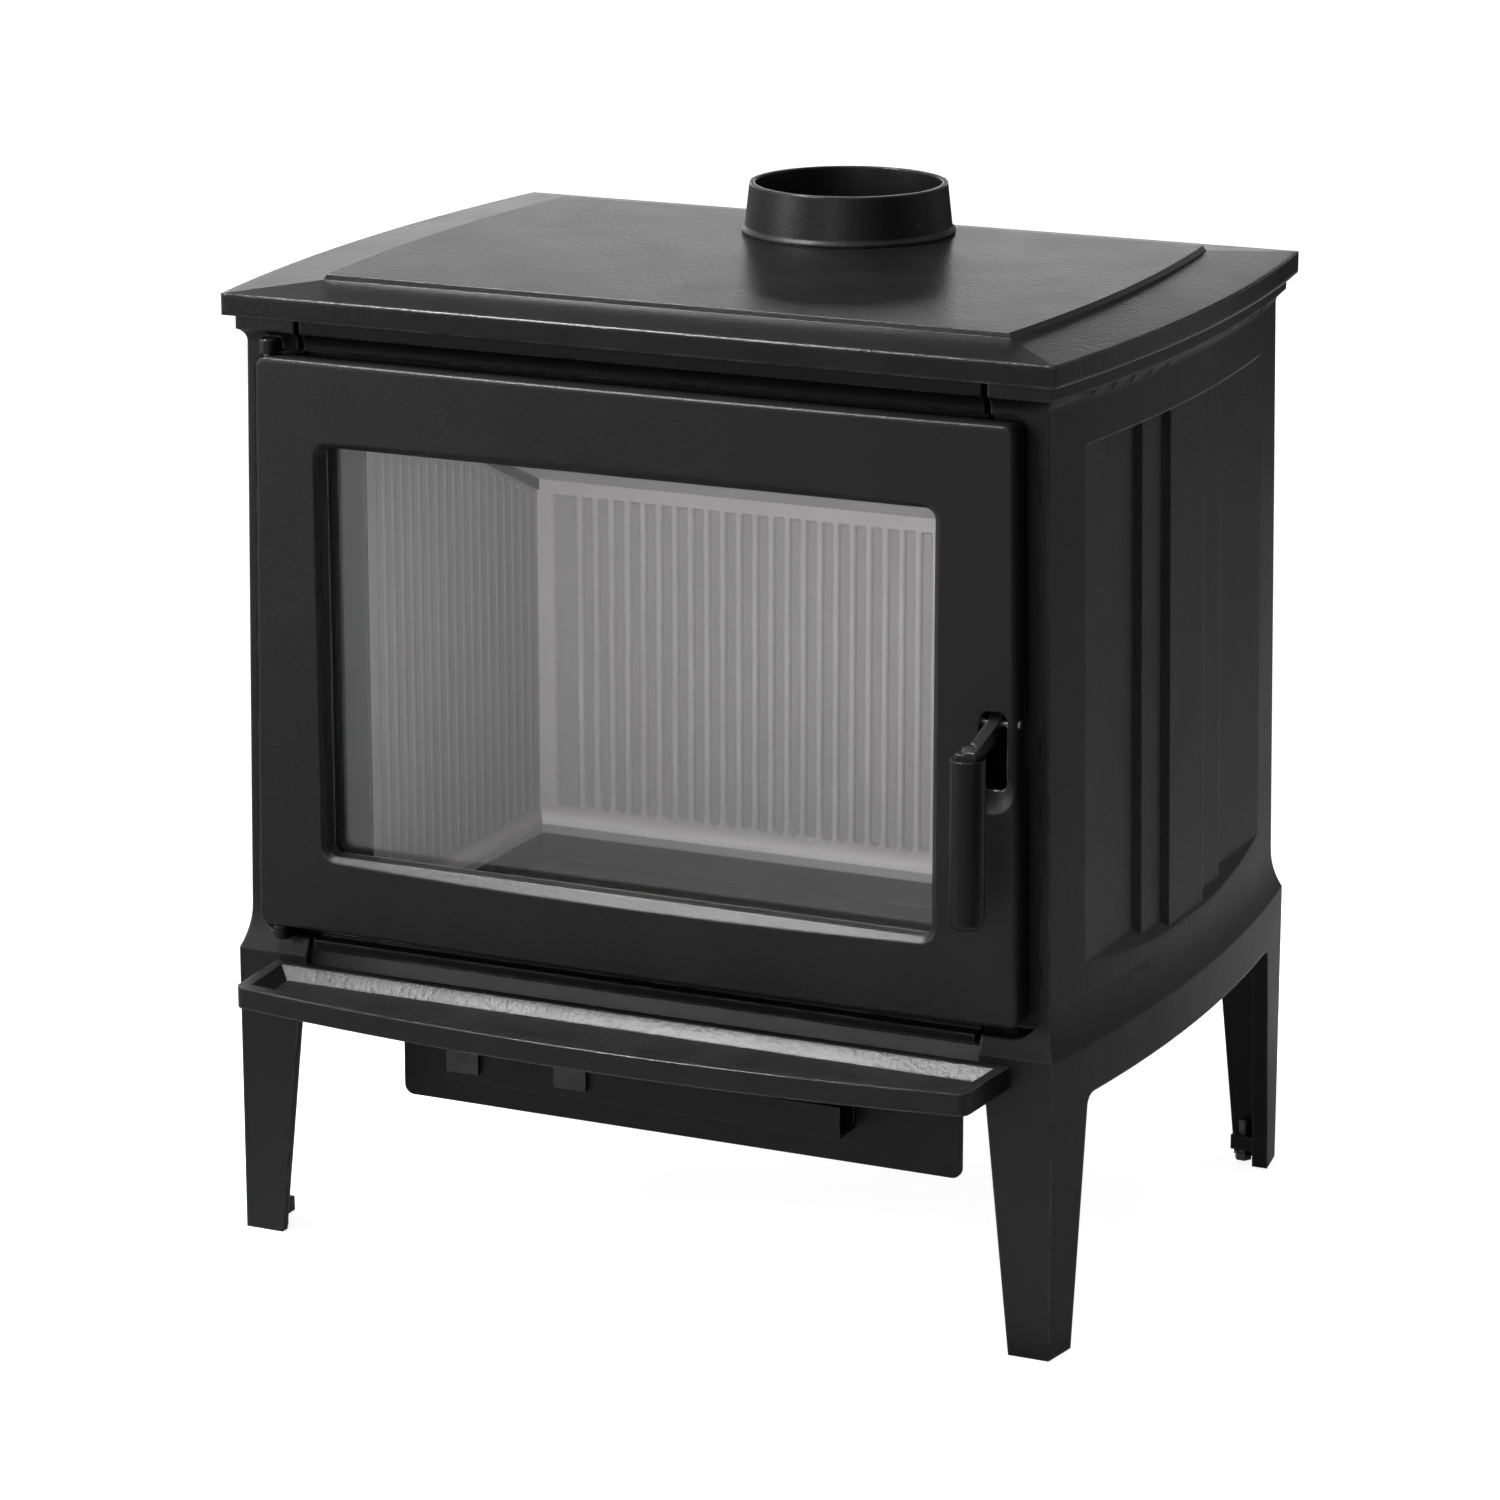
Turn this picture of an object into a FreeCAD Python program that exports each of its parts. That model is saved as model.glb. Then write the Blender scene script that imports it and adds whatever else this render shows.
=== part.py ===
import FreeCAD, Part
import math
import os
import Sketcher

# Driving dimensions in millimetres. Heights stack up from the floor, widths are half widths
# about the middle plane, and front and rear distances are counted from the origin.
sizes = {
    # side castings and legs
    "skirt_height": 195,
    "skirt_depth": 38,
    "flare_height": 35,
    "flare_side": 8.5,
    "flare_front": 9.5,
    "waist_half_width": 335,
    "side_taper": 8,
    "side_bow": 20,
    "body_front": 196.5,
    "body_rear": 286.5,
    "neck_band": 4,
    "cove_height": 10,
    "cove_depth": 7,
    "cornice_band": 12,
    "side_wall": 13,
    "flange_thickness": 16,
    "flange_width": 51,
    "leg_wall": 8,
    "foot_width": 32,
    "leg_top_width": 53,
    "arch_radius": 10,
    "ledge_thickness": 10,
    "ledge_reach": 35,
    "recess_half_length": 189,
    "recess_step_outer": 85,
    "recess_step_inner": 37,
    "recess_step_height": 4.5,
    "recess_step_run": 3,
    "recess_bottom_gap": 46,
    "recess_top_gap": 32,
    "recess_sill_rise": 14,
    "recess_sill_run": 10,
    "foot_lug_height": 12,
    "foot_lug_depth": 17,
    "foot_lug_width": 30,
    "foot_lug_gap": 10,
    # door rebate, hinge and joints of the front
    "sill_height": 26,
    "door_top_gap": 3,
    "rebate_depth": 8,
    "rebate_margin": 5.5,
    "rebate_bottom_gap": 13,
    "rebate_radius": 22,
    "joint_gap": 5,
    "frame_flange_lap": 21,
    "frame_flange_thickness": 10,
    "frame_end_gap": 7,
    "sill_lip_depth": 13,
    "sill_lip_thickness": 7,
    "mouth_radius": 20,
    "hinge_inset": 14.5,
    "hinge_pin_radius": 3.5,
    "hinge_pin_reach": 18,
    "hinge_lug_radius": 6.5,
    "hinge_lug_height": 11,
    "hinge_lug_gap": 1.5,
    # door
    "door_margin": 16.5,
    "door_height": 450,
    "door_taper": 8.5,
    "door_thickness": 20,
    "door_bow": 6,
    "door_gap": 1,
    "door_corner_radius": 8,
    "door_edge_radius": 3,
    "stile_width": 60,
    "bottom_rail": 57,
    "top_rail": 60.5,
    "window_bevel": 5,
    "window_shift": 3.5,
    "window_radius": 11,
    "glass_thickness": 4,
    "glass_lap": 8,
    "glass_clearance": 0.5,
    "gasket_thickness": 2,
    "rope_width": 8,
    "rope_band": 9.5,
    "rope_groove_depth": 4,
    "rope_clearance": 0.3,
    "mouth_land": 3,
    "clip_length": 26,
    "clip_thickness": 2,
    "clip_overlap": 5,
    "clip_margin": 1,
    "clip_place": 120,
    "clip_screw_radius": 2,
    "clip_screw_depth": 8,
    "clip_head_radius": 3.4,
    "clip_head_height": 2.2,
    # handle and latch
    "slot_inset": 16.5,
    "slot_width": 22,
    "slot_drop": 210,
    "slot_height": 60.5,
    "scoop_radius": 30,
    "scoop_depth": 4.5,
    "pivot_drop": 11,
    "pivot_radius": 3,
    "pivot_inset": 16,
    "pivot_end": 0.6,
    "running_clearance": 0.05,
    "arm_thickness": 9,
    "arm_width": 13,
    "arm_foot": 15,
    "arm_boss_radius": 8.5,
    "grip_stand_off": 47,
    "grip_offset": 4,
    "grip_drop": 16,
    "grip_length": 127,
    "grip_radius": 13,
    "grip_end_radius": 5,
    "grip_screw_radius": 3,
    "grip_screw_depth": 30,
    "grip_head_radius": 5,
    "grip_head_height": 3.5,
    "hook_reach": 30,
    "hook_half_height": 5.5,
    "latch_notch_width": 27,
    "latch_notch_above": 20,
    "latch_notch_below": 34,
    "keeper_gap": 0.6,
    "keeper_roller_radius": 4,
    "keeper_thickness": 3,
    "keeper_height": 26,
    "keeper_tail": 8,
    "keeper_screw_radius": 2.5,
    "keeper_screw_depth": 5,
    # top plate and flue collar
    "top_front_overhang": 18,
    "top_side_overhang": 5,
    "top_bow": 19.5,
    "rim_thickness": 16.6,
    "border_rise": 5.4,
    "border_width": 57,
    "panel_rise": 4,
    "panel_edge": 2,
    "top_pocket_depth": 9,
    "top_pocket_margin": 62,
    "flue_bore_radius": 75,
    "flue_inset": 112,
    "collar_base_radius": 84,
    "collar_top_radius": 79.2,
    "collar_height": 39.5,
    "collar_bead_radius": 85.5,
    "collar_bead_height": 5,
    "collar_bolt_count": 3,
    "collar_bolt_radius": 2.5,
    "collar_bolt_depth": 10,
    "collar_head_radius": 4.4,
    "collar_head_height": 4,
    # ash shelf
    "shelf_gap": 6,
    "shelf_thickness": 17,
    "shelf_depth": 73.5,
    "shelf_bow": 25,
    "shelf_inset": 30,
    "shelf_flare": 5,
    "shelf_rim": 9,
    "shelf_corner_radius": 8,
    "shelf_trough_depth": 9,
    "shelf_trough_slope": 11,
    # hearth, bricks and baffle
    "hearth_lap": 17,
    "hearth_floor": 12,
    "basin_depth": 29,
    "basin_wall": 34,
    "basin_front_wall": 20,
    "brick_inset": 65,
    "brick_thickness": 30,
    "brick_height": 314,
    "side_brick_front_height": 394,
    "side_brick_rear_height": 286,
    "side_brick_slope": 251,
    "brick_front_gap": 73,
    "brick_overhang": 4,
    "retainer_thickness": 3,
    "back_brick_gap": 58,
    "flute_pitch": 14.47,
    "flute_width": 8,
    "flute_depth": 3,
    "flute_border_head": 31,
    "flute_border_foot": 15,
    "flute_border_width": 41.5,
    "baffle_thickness": 8,
    "baffle_depth": 190,
    "baffle_set_in": 0.5,
    "baffle_lap": 28,
    "baffle_rail": 9,
    "baffle_rail_lap": 2,
    "deflector_height": 34,
    "deflector_depth": 26,
    "deflector_thickness": 3,
    "deflector_rise": 14,
    "grate_length": 240,
    "grate_depth": 76,
    "grate_set_back": 14.5,
    "grate_thickness": 8,
    "grate_ledge": 8,
    "grate_clearance": 0.5,
    "grate_slot": 9,
    "grate_pitch": 18,
    "grate_border": 16,
    "back_plate_thickness": 12,
    "back_plate_lap": 26,
    # air box, rail and slides
    "air_box_inset": 95,
    "air_box_front": 129.5,
    "air_box_depth": 104,
    "air_box_set_in": 54,
    "air_box_height": 102,
    "air_box_wall": 3,
    "air_box_lip": 15,
    "air_box_corner": 8,
    "inlet_radius": 9,
    "rail_left_inset": 56,
    "rail_right_inset": 88,
    "rail_depth": 30,
    "rail_height": 25,
    "rail_rise": 29,
    "rail_wall": 3,
    "slide_clearance": 0.5,
    "slide_thickness": 6,
    "slide_length": 46,
    "tab_width": 28,
    "tab_height": 25,
    "tab_thickness": 3,
    "tab_gap": 1,
    "tab_rise": 8,
    "primary_inset": 70,
    "secondary_inset": 164,
    "pan_half_width": 125,
    "pan_gap": 4,
    "pan_height": 78,
    "pan_wall": 2,
    # fasteners
    "bolt_radius": 4,
    "bolt_head_radius": 7.5,
    "bolt_head_height": 5.5,
    "bolt_bite": 5,
    "screw_radius": 3,
    "screw_head_radius": 5.5,
    "screw_head_height": 4,
    "screw_bite": 8,
    "thread_clearance": 0.1,
    # levelling feet
    "foot_screw_radius": 4,
    "foot_screw_length": 34,
    "foot_pad_radius": 7,
    "foot_pad_height": 6,
    "foot_inset": 21.5,
    "foot_set_back": 16.5,
    "overrun": 5,
}

doc = FreeCAD.newDocument("Stove")
sheet = doc.addObject("Spreadsheet::Sheet", "Dims")
for row, (alias, value) in enumerate(sizes.items(), start=1):
    sheet.set(f"A{row}", alias)
    sheet.set(f"B{row}", str(value))
    sheet.setAlias(f"B{row}", alias)
doc.recompute()


class Size:
    """A length that knows its value now and the expression over the sheet that gives it."""

    def __init__(self, value, text):
        self.value = value
        self.text = text

    def __add__(self, other):
        other = as_size(other)
        return Size(self.value + other.value, f"({self.text} + {other.text})")

    def __sub__(self, other):
        other = as_size(other)
        return Size(self.value - other.value, f"({self.text} - {other.text})")

    def __mul__(self, other):
        other = as_size(other)
        return Size(self.value * other.value, f"({self.text} * {other.text})")

    def __truediv__(self, other):
        other = as_size(other)
        return Size(self.value / other.value, f"({self.text} / {other.text})")

    def __rmul__(self, other):
        return as_size(other) * self

    def __radd__(self, other):
        return as_size(other) + self

    def __neg__(self):
        return Size(-self.value, f"(0 - {self.text})")


def as_size(value):
    if isinstance(value, Size):
        return value
    return Size(value, str(value) if value >= 0 else f"(0 - {-value})")


class Sheet:
    """Gives each named size of the sheet as an attribute."""

    def __getattr__(self, alias):
        return Size(float(sheet.get(alias)), f"Dims.{alias}")


mm = Sheet()
origin_point = FreeCAD.Vector(0, 0, 0)
axis_turns = {
    "+x": FreeCAD.Rotation(FreeCAD.Vector(0, 1, 0), 90),
    "-x": FreeCAD.Rotation(FreeCAD.Vector(0, 1, 0), -90),
    "+y": FreeCAD.Rotation(FreeCAD.Vector(1, 0, 0), -90),
    "-y": FreeCAD.Rotation(FreeCAD.Vector(1, 0, 0), 90),
    "+z": FreeCAD.Rotation(),
    "-z": FreeCAD.Rotation(FreeCAD.Vector(1, 0, 0), 180),
}
used_names = {}
pieces = {}


def fresh(name):
    used_names[name] = used_names.get(name, 0) + 1
    return f"{name}_{used_names[name]}"


def bind(obj, prop, size):
    obj.setExpression(prop, as_size(size).text)


def place(obj, x, y, z, axis="+z"):
    obj.Placement = FreeCAD.Placement(origin_point, axis_turns[axis])
    bind(obj, "Placement.Base.x", x)
    bind(obj, "Placement.Base.y", y)
    bind(obj, "Placement.Base.z", z)
    return obj


def box(name, xs, ys, zs):
    obj = doc.addObject("Part::Box", fresh(name))
    bind(obj, "Length", as_size(xs[1]) - xs[0])
    bind(obj, "Width", as_size(ys[1]) - ys[0])
    bind(obj, "Height", as_size(zs[1]) - zs[0])
    return place(obj, xs[0], ys[0], zs[0])


def rod(name, radius, length, x, y, z, axis="+z"):
    obj = doc.addObject("Part::Cylinder", fresh(name))
    bind(obj, "Radius", radius)
    bind(obj, "Height", length)
    return place(obj, x, y, z, axis)


def fuse(name, *members):
    obj = doc.addObject("Part::MultiFuse", fresh(name))
    obj.Shapes = list(members)
    obj.Refine = True
    return obj


def cut(name, base, *tools):
    tool = tools[0] if len(tools) == 1 else fuse(name + "_tools", *tools)
    obj = doc.addObject("Part::Cut", fresh(name))
    obj.Base = base
    obj.Tool = tool
    obj.Refine = True
    return obj


def common(name, base, tool):
    obj = doc.addObject("Part::Common", fresh(name))
    obj.Base = base
    obj.Tool = tool
    obj.Refine = True
    return obj


def mirror(name, source):
    obj = doc.addObject("Part::Mirroring", fresh(name))
    obj.Source = source
    obj.Normal = FreeCAD.Vector(1, 0, 0)
    return obj


def group(name, members):
    obj = doc.addObject("Part::Compound", fresh(name))
    obj.Links = list(members)
    return obj


def keep(node, obj):
    obj.Label = node
    pieces[node] = obj
    return obj


def bulged_edge(start, end, radius, side):
    """An arc from start to end, bulging to the left of that way when side is +1."""
    along = end - start
    half = along.Length / 2
    sag = radius - (radius ** 2 - half ** 2) ** 0.5
    left = FreeCAD.Vector(-along.y, along.x, 0).normalize()
    middle = (start + end) * 0.5 + left * sag * side
    return Part.Arc(start, middle, end) if side < 0 else Part.Arc(end, middle, start)


def draw(sketch, points):
    """Draws a closed outline. A point is (x, y), or (x, y, radius, side) where an arc leaves it."""
    corners = [FreeCAD.Vector(as_size(p[0]).value, as_size(p[1]).value, 0) for p in points]
    count = len(points)
    edges = []
    for index, point in enumerate(points):
        start, end = corners[index], corners[(index + 1) % count]
        if len(point) == 4:
            edges.append(bulged_edge(start, end, point[2].value, point[3]))
        else:
            edges.append(Part.LineSegment(start, end))
    sketch.addGeometry(edges, False)
    head = {i: 2 if len(p) == 4 and p[3] > 0 else 1 for i, p in enumerate(points)}
    tail = {i: 3 - head[i] for i in head}
    rules = []
    for index in range(count):
        following = (index + 1) % count
        rules.append(Sketcher.Constraint("Coincident", index, tail[index], following, head[following]))
    bound = []
    for index, point in enumerate(points):
        for kind, value in (("DistanceX", point[0]), ("DistanceY", point[1])):
            bound.append((len(rules), value))
            rules.append(Sketcher.Constraint(kind, -1, 1, index, head[index], as_size(value).value))
        if len(point) == 4:
            bound.append((len(rules), point[2]))
            rules.append(Sketcher.Constraint("Radius", index, point[2].value))
    sketch.addConstraint(rules)
    for index, value in bound:
        sketch.setExpression(f"Constraints[{index}]", as_size(value).text)


def sketch_on(body, plane, offset, points):
    sketch = body.newObject("Sketcher::SketchObject", fresh("Outline"))
    support = [f for f in body.Origin.OriginFeatures if f.Role == f"{plane}_Plane"][0]
    sketch.AttachmentSupport = (support, "")
    sketch.MapMode = "FlatFace"
    bind(sketch, "AttachmentOffset.Base.z", offset)
    draw(sketch, points)
    return sketch


def prism(name, plane, points, low, high, radius=None, corners=None):
    """A body padded between two places along the normal of its plane, with rounded corners."""
    body = doc.addObject("PartDesign::Body", fresh(name))
    offset = -as_size(high) if plane == "XZ" else low
    pad = body.newObject("PartDesign::Pad", fresh("Pad"))
    pad.Profile = sketch_on(body, plane, offset, points)
    bind(pad, "Length", as_size(high) - low)
    if radius is not None:
        doc.recompute()
        round_edges(body, pad, plane, radius, corners)
    return body


def round_edges(body, base, plane, radius, corners):
    """Rounds the edges along the pad whose places in the outline are among the given corners."""
    turned = {"XY": (0, 1), "XZ": (0, 2), "YZ": (1, 2)}[plane]
    chosen = []
    for number, edge in enumerate(base.Shape.Edges, start=1):
        first, last = edge.Vertexes[0].Point, edge.Vertexes[-1].Point
        if abs(first[turned[0]] - last[turned[0]]) + abs(first[turned[1]] - last[turned[1]]) > 1e-6:
            continue
        spot = (first[turned[0]], first[turned[1]])
        for corner in corners:
            if abs(spot[0] - as_size(corner[0]).value) + abs(spot[1] - as_size(corner[1]).value) < 1e-3:
                chosen.append(f"Edge{number}")
    fillet = body.newObject("PartDesign::Fillet", fresh("Round"))
    fillet.Base = (base, chosen)
    bind(fillet, "Radius", radius)
    return fillet


def rectangle(xs, ys):
    return [(xs[0], ys[0]), (xs[1], ys[0]), (xs[1], ys[1]), (xs[0], ys[1])]


def rounded_rectangle(xs, ys, radius):
    """A rectangle with round corners, its arcs bulging outwards."""
    left, right = as_size(xs[0]), as_size(xs[1])
    low, high = as_size(ys[0]), as_size(ys[1])
    return [
        (left + radius, low),
        (right - radius, low, radius, -1),
        (right, low + radius),
        (right, high - radius, radius, -1),
        (right - radius, high),
        (left + radius, high, radius, -1),
        (left, high - radius),
        (left, low + radius, radius, -1),
    ]


def loft(name, sections):
    """A ruled solid through outlines drawn on planes level with the floor or facing the front."""
    body = doc.addObject("PartDesign::Body", fresh(name))
    sketches = [sketch_on(body, plane, offset, points) for plane, offset, points in sections]
    solid = body.newObject("PartDesign::AdditiveLoft", fresh("Loft"))
    solid.Profile = sketches[0]
    solid.Sections = sketches[1:]
    solid.Ruled = True
    return body


def bolt(name, radius, length, head_radius, head_height, x, y, z, axis):
    """A hexagon bolt: its seat under the head is at the given place and its head points along axis."""
    head = doc.addObject("Part::Prism", fresh(name + "_head"))
    head.Polygon = 6
    bind(head, "Circumradius", head_radius)
    bind(head, "Height", head_height)
    shank = rod(name + "_shank", radius, length, 0, 0, -length)
    return place(fuse(name, head, shank), x, y, z, axis)


# Places that several pieces share
crease = mm.skirt_height + mm.skirt_depth
waist = crease + mm.flare_height
door_bottom = crease + mm.sill_height
door_top = door_bottom + mm.door_height
rebate_top = door_top + mm.door_top_gap
neck = rebate_top + mm.neck_band
cove_top = neck + mm.cove_height
side_top = cove_top + mm.cornice_band
leg_front = -(mm.body_front + mm.flare_front)
leg_rear = mm.body_rear + mm.flare_front
body_front = -mm.body_front
middle = (mm.body_rear - mm.body_front) / 2
half_depth = (mm.body_rear + mm.body_front) / 2 + mm.flare_front
leg_half_width = mm.waist_half_width + mm.flare_side
neck_half_width = mm.waist_half_width - mm.side_taper
cornice_half_width = neck_half_width + mm.cove_depth
far_side = leg_half_width + mm.side_bow + mm.overrun
flange_inner = mm.waist_half_width - mm.flange_width
flange_back = body_front + mm.flange_thickness
rebate_floor = body_front + mm.rebate_depth
bow_radius = (half_depth * half_depth + mm.side_bow * mm.side_bow) / (2 * mm.side_bow)
swept_share = 2.4
ledge_top = mm.skirt_height + mm.ledge_thickness
floor_top = ledge_top + mm.hearth_floor
basin_top = floor_top + mm.basin_depth
brick_top = basin_top + mm.brick_height
back_face = mm.body_rear - mm.flange_thickness
back_plate_front = back_face - mm.back_plate_thickness
frame_back = flange_back + mm.frame_flange_thickness
frame_half_width = flange_inner - mm.joint_gap
frame_flange_half = flange_inner + mm.frame_flange_lap
door_back = body_front - mm.door_gap
door_face = door_back - mm.door_thickness
door_half_width = mm.waist_half_width - mm.door_margin
door_top_half = door_half_width - mm.door_taper
window_half = door_half_width - mm.stile_width - mm.window_bevel
window_left = -window_half - mm.window_shift
window_right = window_half - mm.window_shift
window_bottom = door_bottom + mm.bottom_rail + mm.window_bevel
window_top = door_top - mm.top_rail - mm.window_bevel
glass_half = mm.glass_lap - window_left
rope_inner_half = glass_half + mm.glass_clearance + mm.rope_band
rope_inner_bottom = window_bottom - mm.glass_lap - mm.glass_clearance - mm.rope_band
rope_inner_top = window_top + mm.glass_lap + mm.glass_clearance + mm.rope_band
mouth_half = rope_inner_half - mm.mouth_land
mouth_bottom = rope_inner_bottom + mm.mouth_land
mouth_top = rope_inner_top - mm.mouth_land
hinge_x = -(door_half_width - mm.hinge_inset)
hinge_y = door_back - mm.door_thickness / 2
slot_top = door_top - mm.slot_drop
slot_bottom = slot_top - mm.slot_height
slot_x = door_half_width - mm.slot_inset - mm.door_taper / 2
pivot_y = door_back - mm.door_thickness / 2
pivot_z = slot_top - mm.pivot_drop
grip_x = slot_x - mm.grip_offset
grip_y = pivot_y - mm.grip_stand_off
grip_top = pivot_z - mm.grip_drop
rim_top = side_top + mm.rim_thickness
border_top = rim_top + mm.border_rise
panel_top = border_top + mm.panel_rise
top_front = -(mm.body_front + mm.top_front_overhang)
top_rear = mm.body_rear + mm.top_front_overhang
top_half_width = mm.waist_half_width + mm.top_side_overhang
flue_y = top_rear - mm.flue_inset


def front_profile(front, rear):
    """The profile of the castings seen from the side: skirt, flare, body and coved cornice."""
    flare = (mm.flare_height * mm.flare_height + mm.flare_front * mm.flare_front) / (2 * mm.flare_front)
    cove = (mm.cove_height * mm.cove_height + mm.cove_depth * mm.cove_depth) / (2 * mm.cove_depth)
    return [
        (front - mm.flare_front, 0),
        (rear + mm.flare_front, 0),
        (rear + mm.flare_front, crease, flare, 1),
        (rear, waist),
        (rear, neck, cove, 1),
        (rear + mm.cove_depth, cove_top),
        (rear + mm.cove_depth, side_top),
        (front - mm.cove_depth, side_top),
        (front - mm.cove_depth, cove_top, cove, 1),
        (front, neck),
        (front, waist, flare, 1),
        (front - mm.flare_front, crease),
    ]


def bowed_block(name, inner, wall):
    """A side turned about an upright axis, from an inner width out to its profile less a wall."""
    body = doc.addObject("PartDesign::Body", fresh(name))
    out = mm.side_bow - wall
    flare = (mm.flare_height * mm.flare_height + mm.flare_side * mm.flare_side) / (2 * mm.flare_side)
    cove = (mm.cove_height * mm.cove_height + mm.cove_depth * mm.cove_depth) / (2 * mm.cove_depth)
    points = [
        (inner, 0),
        (leg_half_width + out, 0),
        (leg_half_width + out, crease, flare, 1),
        (mm.waist_half_width + out, waist),
        (neck_half_width + out, neck, cove, 1),
        (cornice_half_width + out, cove_top),
        (cornice_half_width + out, side_top),
        (inner, side_top),
    ]
    sketch = sketch_on(body, "XZ", -middle, points)
    turn = doc.addObject("Part::Revolution", fresh(name + "_turn"))
    turn.Source = sketch
    turn.Axis = FreeCAD.Vector(0, 0, 1)
    bind(turn, "Base.x", leg_half_width + mm.side_bow - bow_radius)
    bind(turn, "Base.y", middle)
    turn.setExpression("Angle", f"{swept_share} * asin({half_depth.text} / {bow_radius.text})")
    turn.Symmetric = True
    turn.Solid = True
    return turn


def side_recess():
    """The sunk panel: flat upright bands that step out towards the middle, leaning with the side."""
    lean_height = neck - waist
    bottom = crease + mm.recess_bottom_gap
    top = neck - mm.recess_top_gap
    end_drop = mm.recess_half_length * mm.recess_half_length / (2 * bow_radius)
    deep = mm.waist_half_width + mm.side_bow - end_drop
    mid = deep + mm.recess_step_height
    high = mid + mm.recess_step_height
    out = far_side
    length, outer, inner = mm.recess_half_length, mm.recess_step_outer, mm.recess_step_inner
    run = mm.recess_step_run
    plan = [
        (deep, -length),
        (out, -length),
        (out, length),
        (deep, length),
        (deep, outer + run),
        (mid, outer),
        (mid, inner + run),
        (high, inner),
        (high, -inner),
        (mid, -inner - run),
        (mid, -outer),
        (deep, -outer - run),
    ]
    bands = prism("recess_bands", "XY", plan, 0, side_top - waist)
    lean = f"atan({mm.side_taper.text} / {lean_height.text})"
    bands.Placement = FreeCAD.Placement(origin_point, FreeCAD.Rotation(FreeCAD.Vector(0, -1, 0), 1))
    bands.setExpression("Placement.Rotation.Angle", lean)
    shift = deep * mm.side_taper / lean_height
    bind(bands, "Placement.Base.y", middle)
    bind(bands, "Placement.Base.z", waist - shift)
    sill = [
        (deep - mm.side_taper - mm.overrun, bottom + mm.recess_sill_rise),
        (deep, bottom + mm.recess_sill_rise),
        (deep + mm.recess_sill_run, bottom),
        (out, bottom),
        (out, top),
        (deep - mm.side_taper - mm.overrun, top),
    ]
    reach = mm.recess_half_length + mm.overrun
    frame = prism("recess_frame", "XZ", sill, middle - reach, middle + reach)
    return common("recess", bands, frame)


def side_casting():
    """One side with its two legs, front and rear flanges, hearth ledge and foot lugs."""
    through = (flange_inner, far_side)
    block = common(
        "side_block",
        bowed_block("side_outer", flange_inner - mm.overrun * 4, 0),
        prism("side_ends", "YZ", front_profile(body_front, as_size(mm.body_rear)), *through),
    )
    cavity_profile = [
        (leg_front + mm.leg_wall, -mm.overrun),
        (leg_rear - mm.leg_wall, -mm.overrun),
        (leg_rear - mm.leg_wall, crease),
        (back_face, waist),
        (back_face, side_top + mm.overrun),
        (flange_back, side_top + mm.overrun),
        (flange_back, waist),
        (leg_front + mm.leg_wall, crease),
    ]
    cavity = common(
        "side_cavity",
        bowed_block("side_inner", flange_inner - mm.overrun * 4, mm.side_wall),
        prism("cavity_ends", "YZ", cavity_profile, flange_inner - mm.overrun, far_side),
    )
    shell = cut("side_shell", block, cavity)
    ledge_block = box(
        "hearth_ledge",
        (mm.waist_half_width - mm.ledge_reach, far_side),
        (flange_back, back_face),
        (mm.skirt_height, ledge_top),
    )
    ledge = common("ledge", block, ledge_block)
    lugs = []
    for edge, way in ((leg_front + mm.leg_wall, 1), (leg_rear - mm.leg_wall, -1)):
        inner_y = edge + way * mm.foot_lug_depth
        ys = (edge, inner_y) if way > 0 else (inner_y, edge)
        lug = box(
            "foot_lug",
            (leg_half_width - mm.foot_lug_width, far_side),
            ys,
            (mm.foot_lug_gap, mm.foot_lug_gap + mm.foot_lug_height),
        )
        lugs.append(common("lug", block, lug))
    arch = [
        (leg_front + mm.foot_width, -mm.overrun),
        (leg_rear - mm.foot_width, -mm.overrun),
        (leg_rear - mm.leg_top_width, mm.skirt_height),
        (leg_front + mm.leg_top_width, mm.skirt_height),
    ]
    side_arch = prism(
        "side_arch", "YZ", arch, flange_inner - mm.overrun, far_side, mm.arch_radius, arch[2:]
    )
    wedge = [
        (flange_inner - mm.overrun, -mm.overrun),
        (leg_half_width - mm.foot_width, -mm.overrun),
        (leg_half_width - mm.leg_top_width, mm.skirt_height),
        (flange_inner - mm.overrun, mm.skirt_height),
    ]
    front_wedge = prism("front_wedge", "XZ", wedge, leg_front - mm.overrun, leg_rear + mm.overrun)
    rebate_outline = [
        (flange_inner - mm.overrun, door_bottom - mm.rebate_bottom_gap),
        (mm.waist_half_width - mm.rebate_margin, door_bottom - mm.rebate_bottom_gap),
        (neck_half_width - mm.rebate_margin, rebate_top),
        (flange_inner - mm.overrun, rebate_top),
    ]
    rebate = prism(
        "door_rebate",
        "XZ",
        rebate_outline,
        leg_front - mm.overrun,
        rebate_floor,
        mm.rebate_radius,
        rebate_outline[1:3],
    )
    open_shell = cut("side_open", fuse("side_full", shell, ledge), side_arch, front_wedge, rebate)
    recessed = cut("side_recessed", open_shell, side_recess())
    foot_bores = [
        rod(
            "foot_bore",
            mm.foot_screw_radius + mm.running_clearance,
            mm.foot_lug_height + 2 * mm.overrun,
            leg_half_width - mm.foot_inset,
            y,
            mm.foot_lug_gap - mm.overrun,
        )
        for y in foot_places()
    ]
    bolt_holes = side_bolt_holes()
    return cut("side_casting", fuse("side_lugged", recessed, *lugs), *foot_bores, *bolt_holes)


def foot_places():
    return (leg_front + mm.foot_set_back, leg_rear - mm.foot_set_back)


def frame_bolt_heights():
    return (door_bottom + mm.bottom_rail, door_top - mm.top_rail)


def back_bolt_heights():
    return (waist + 2 * mm.bolt_head_radius, side_top - mm.border_width)


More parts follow.
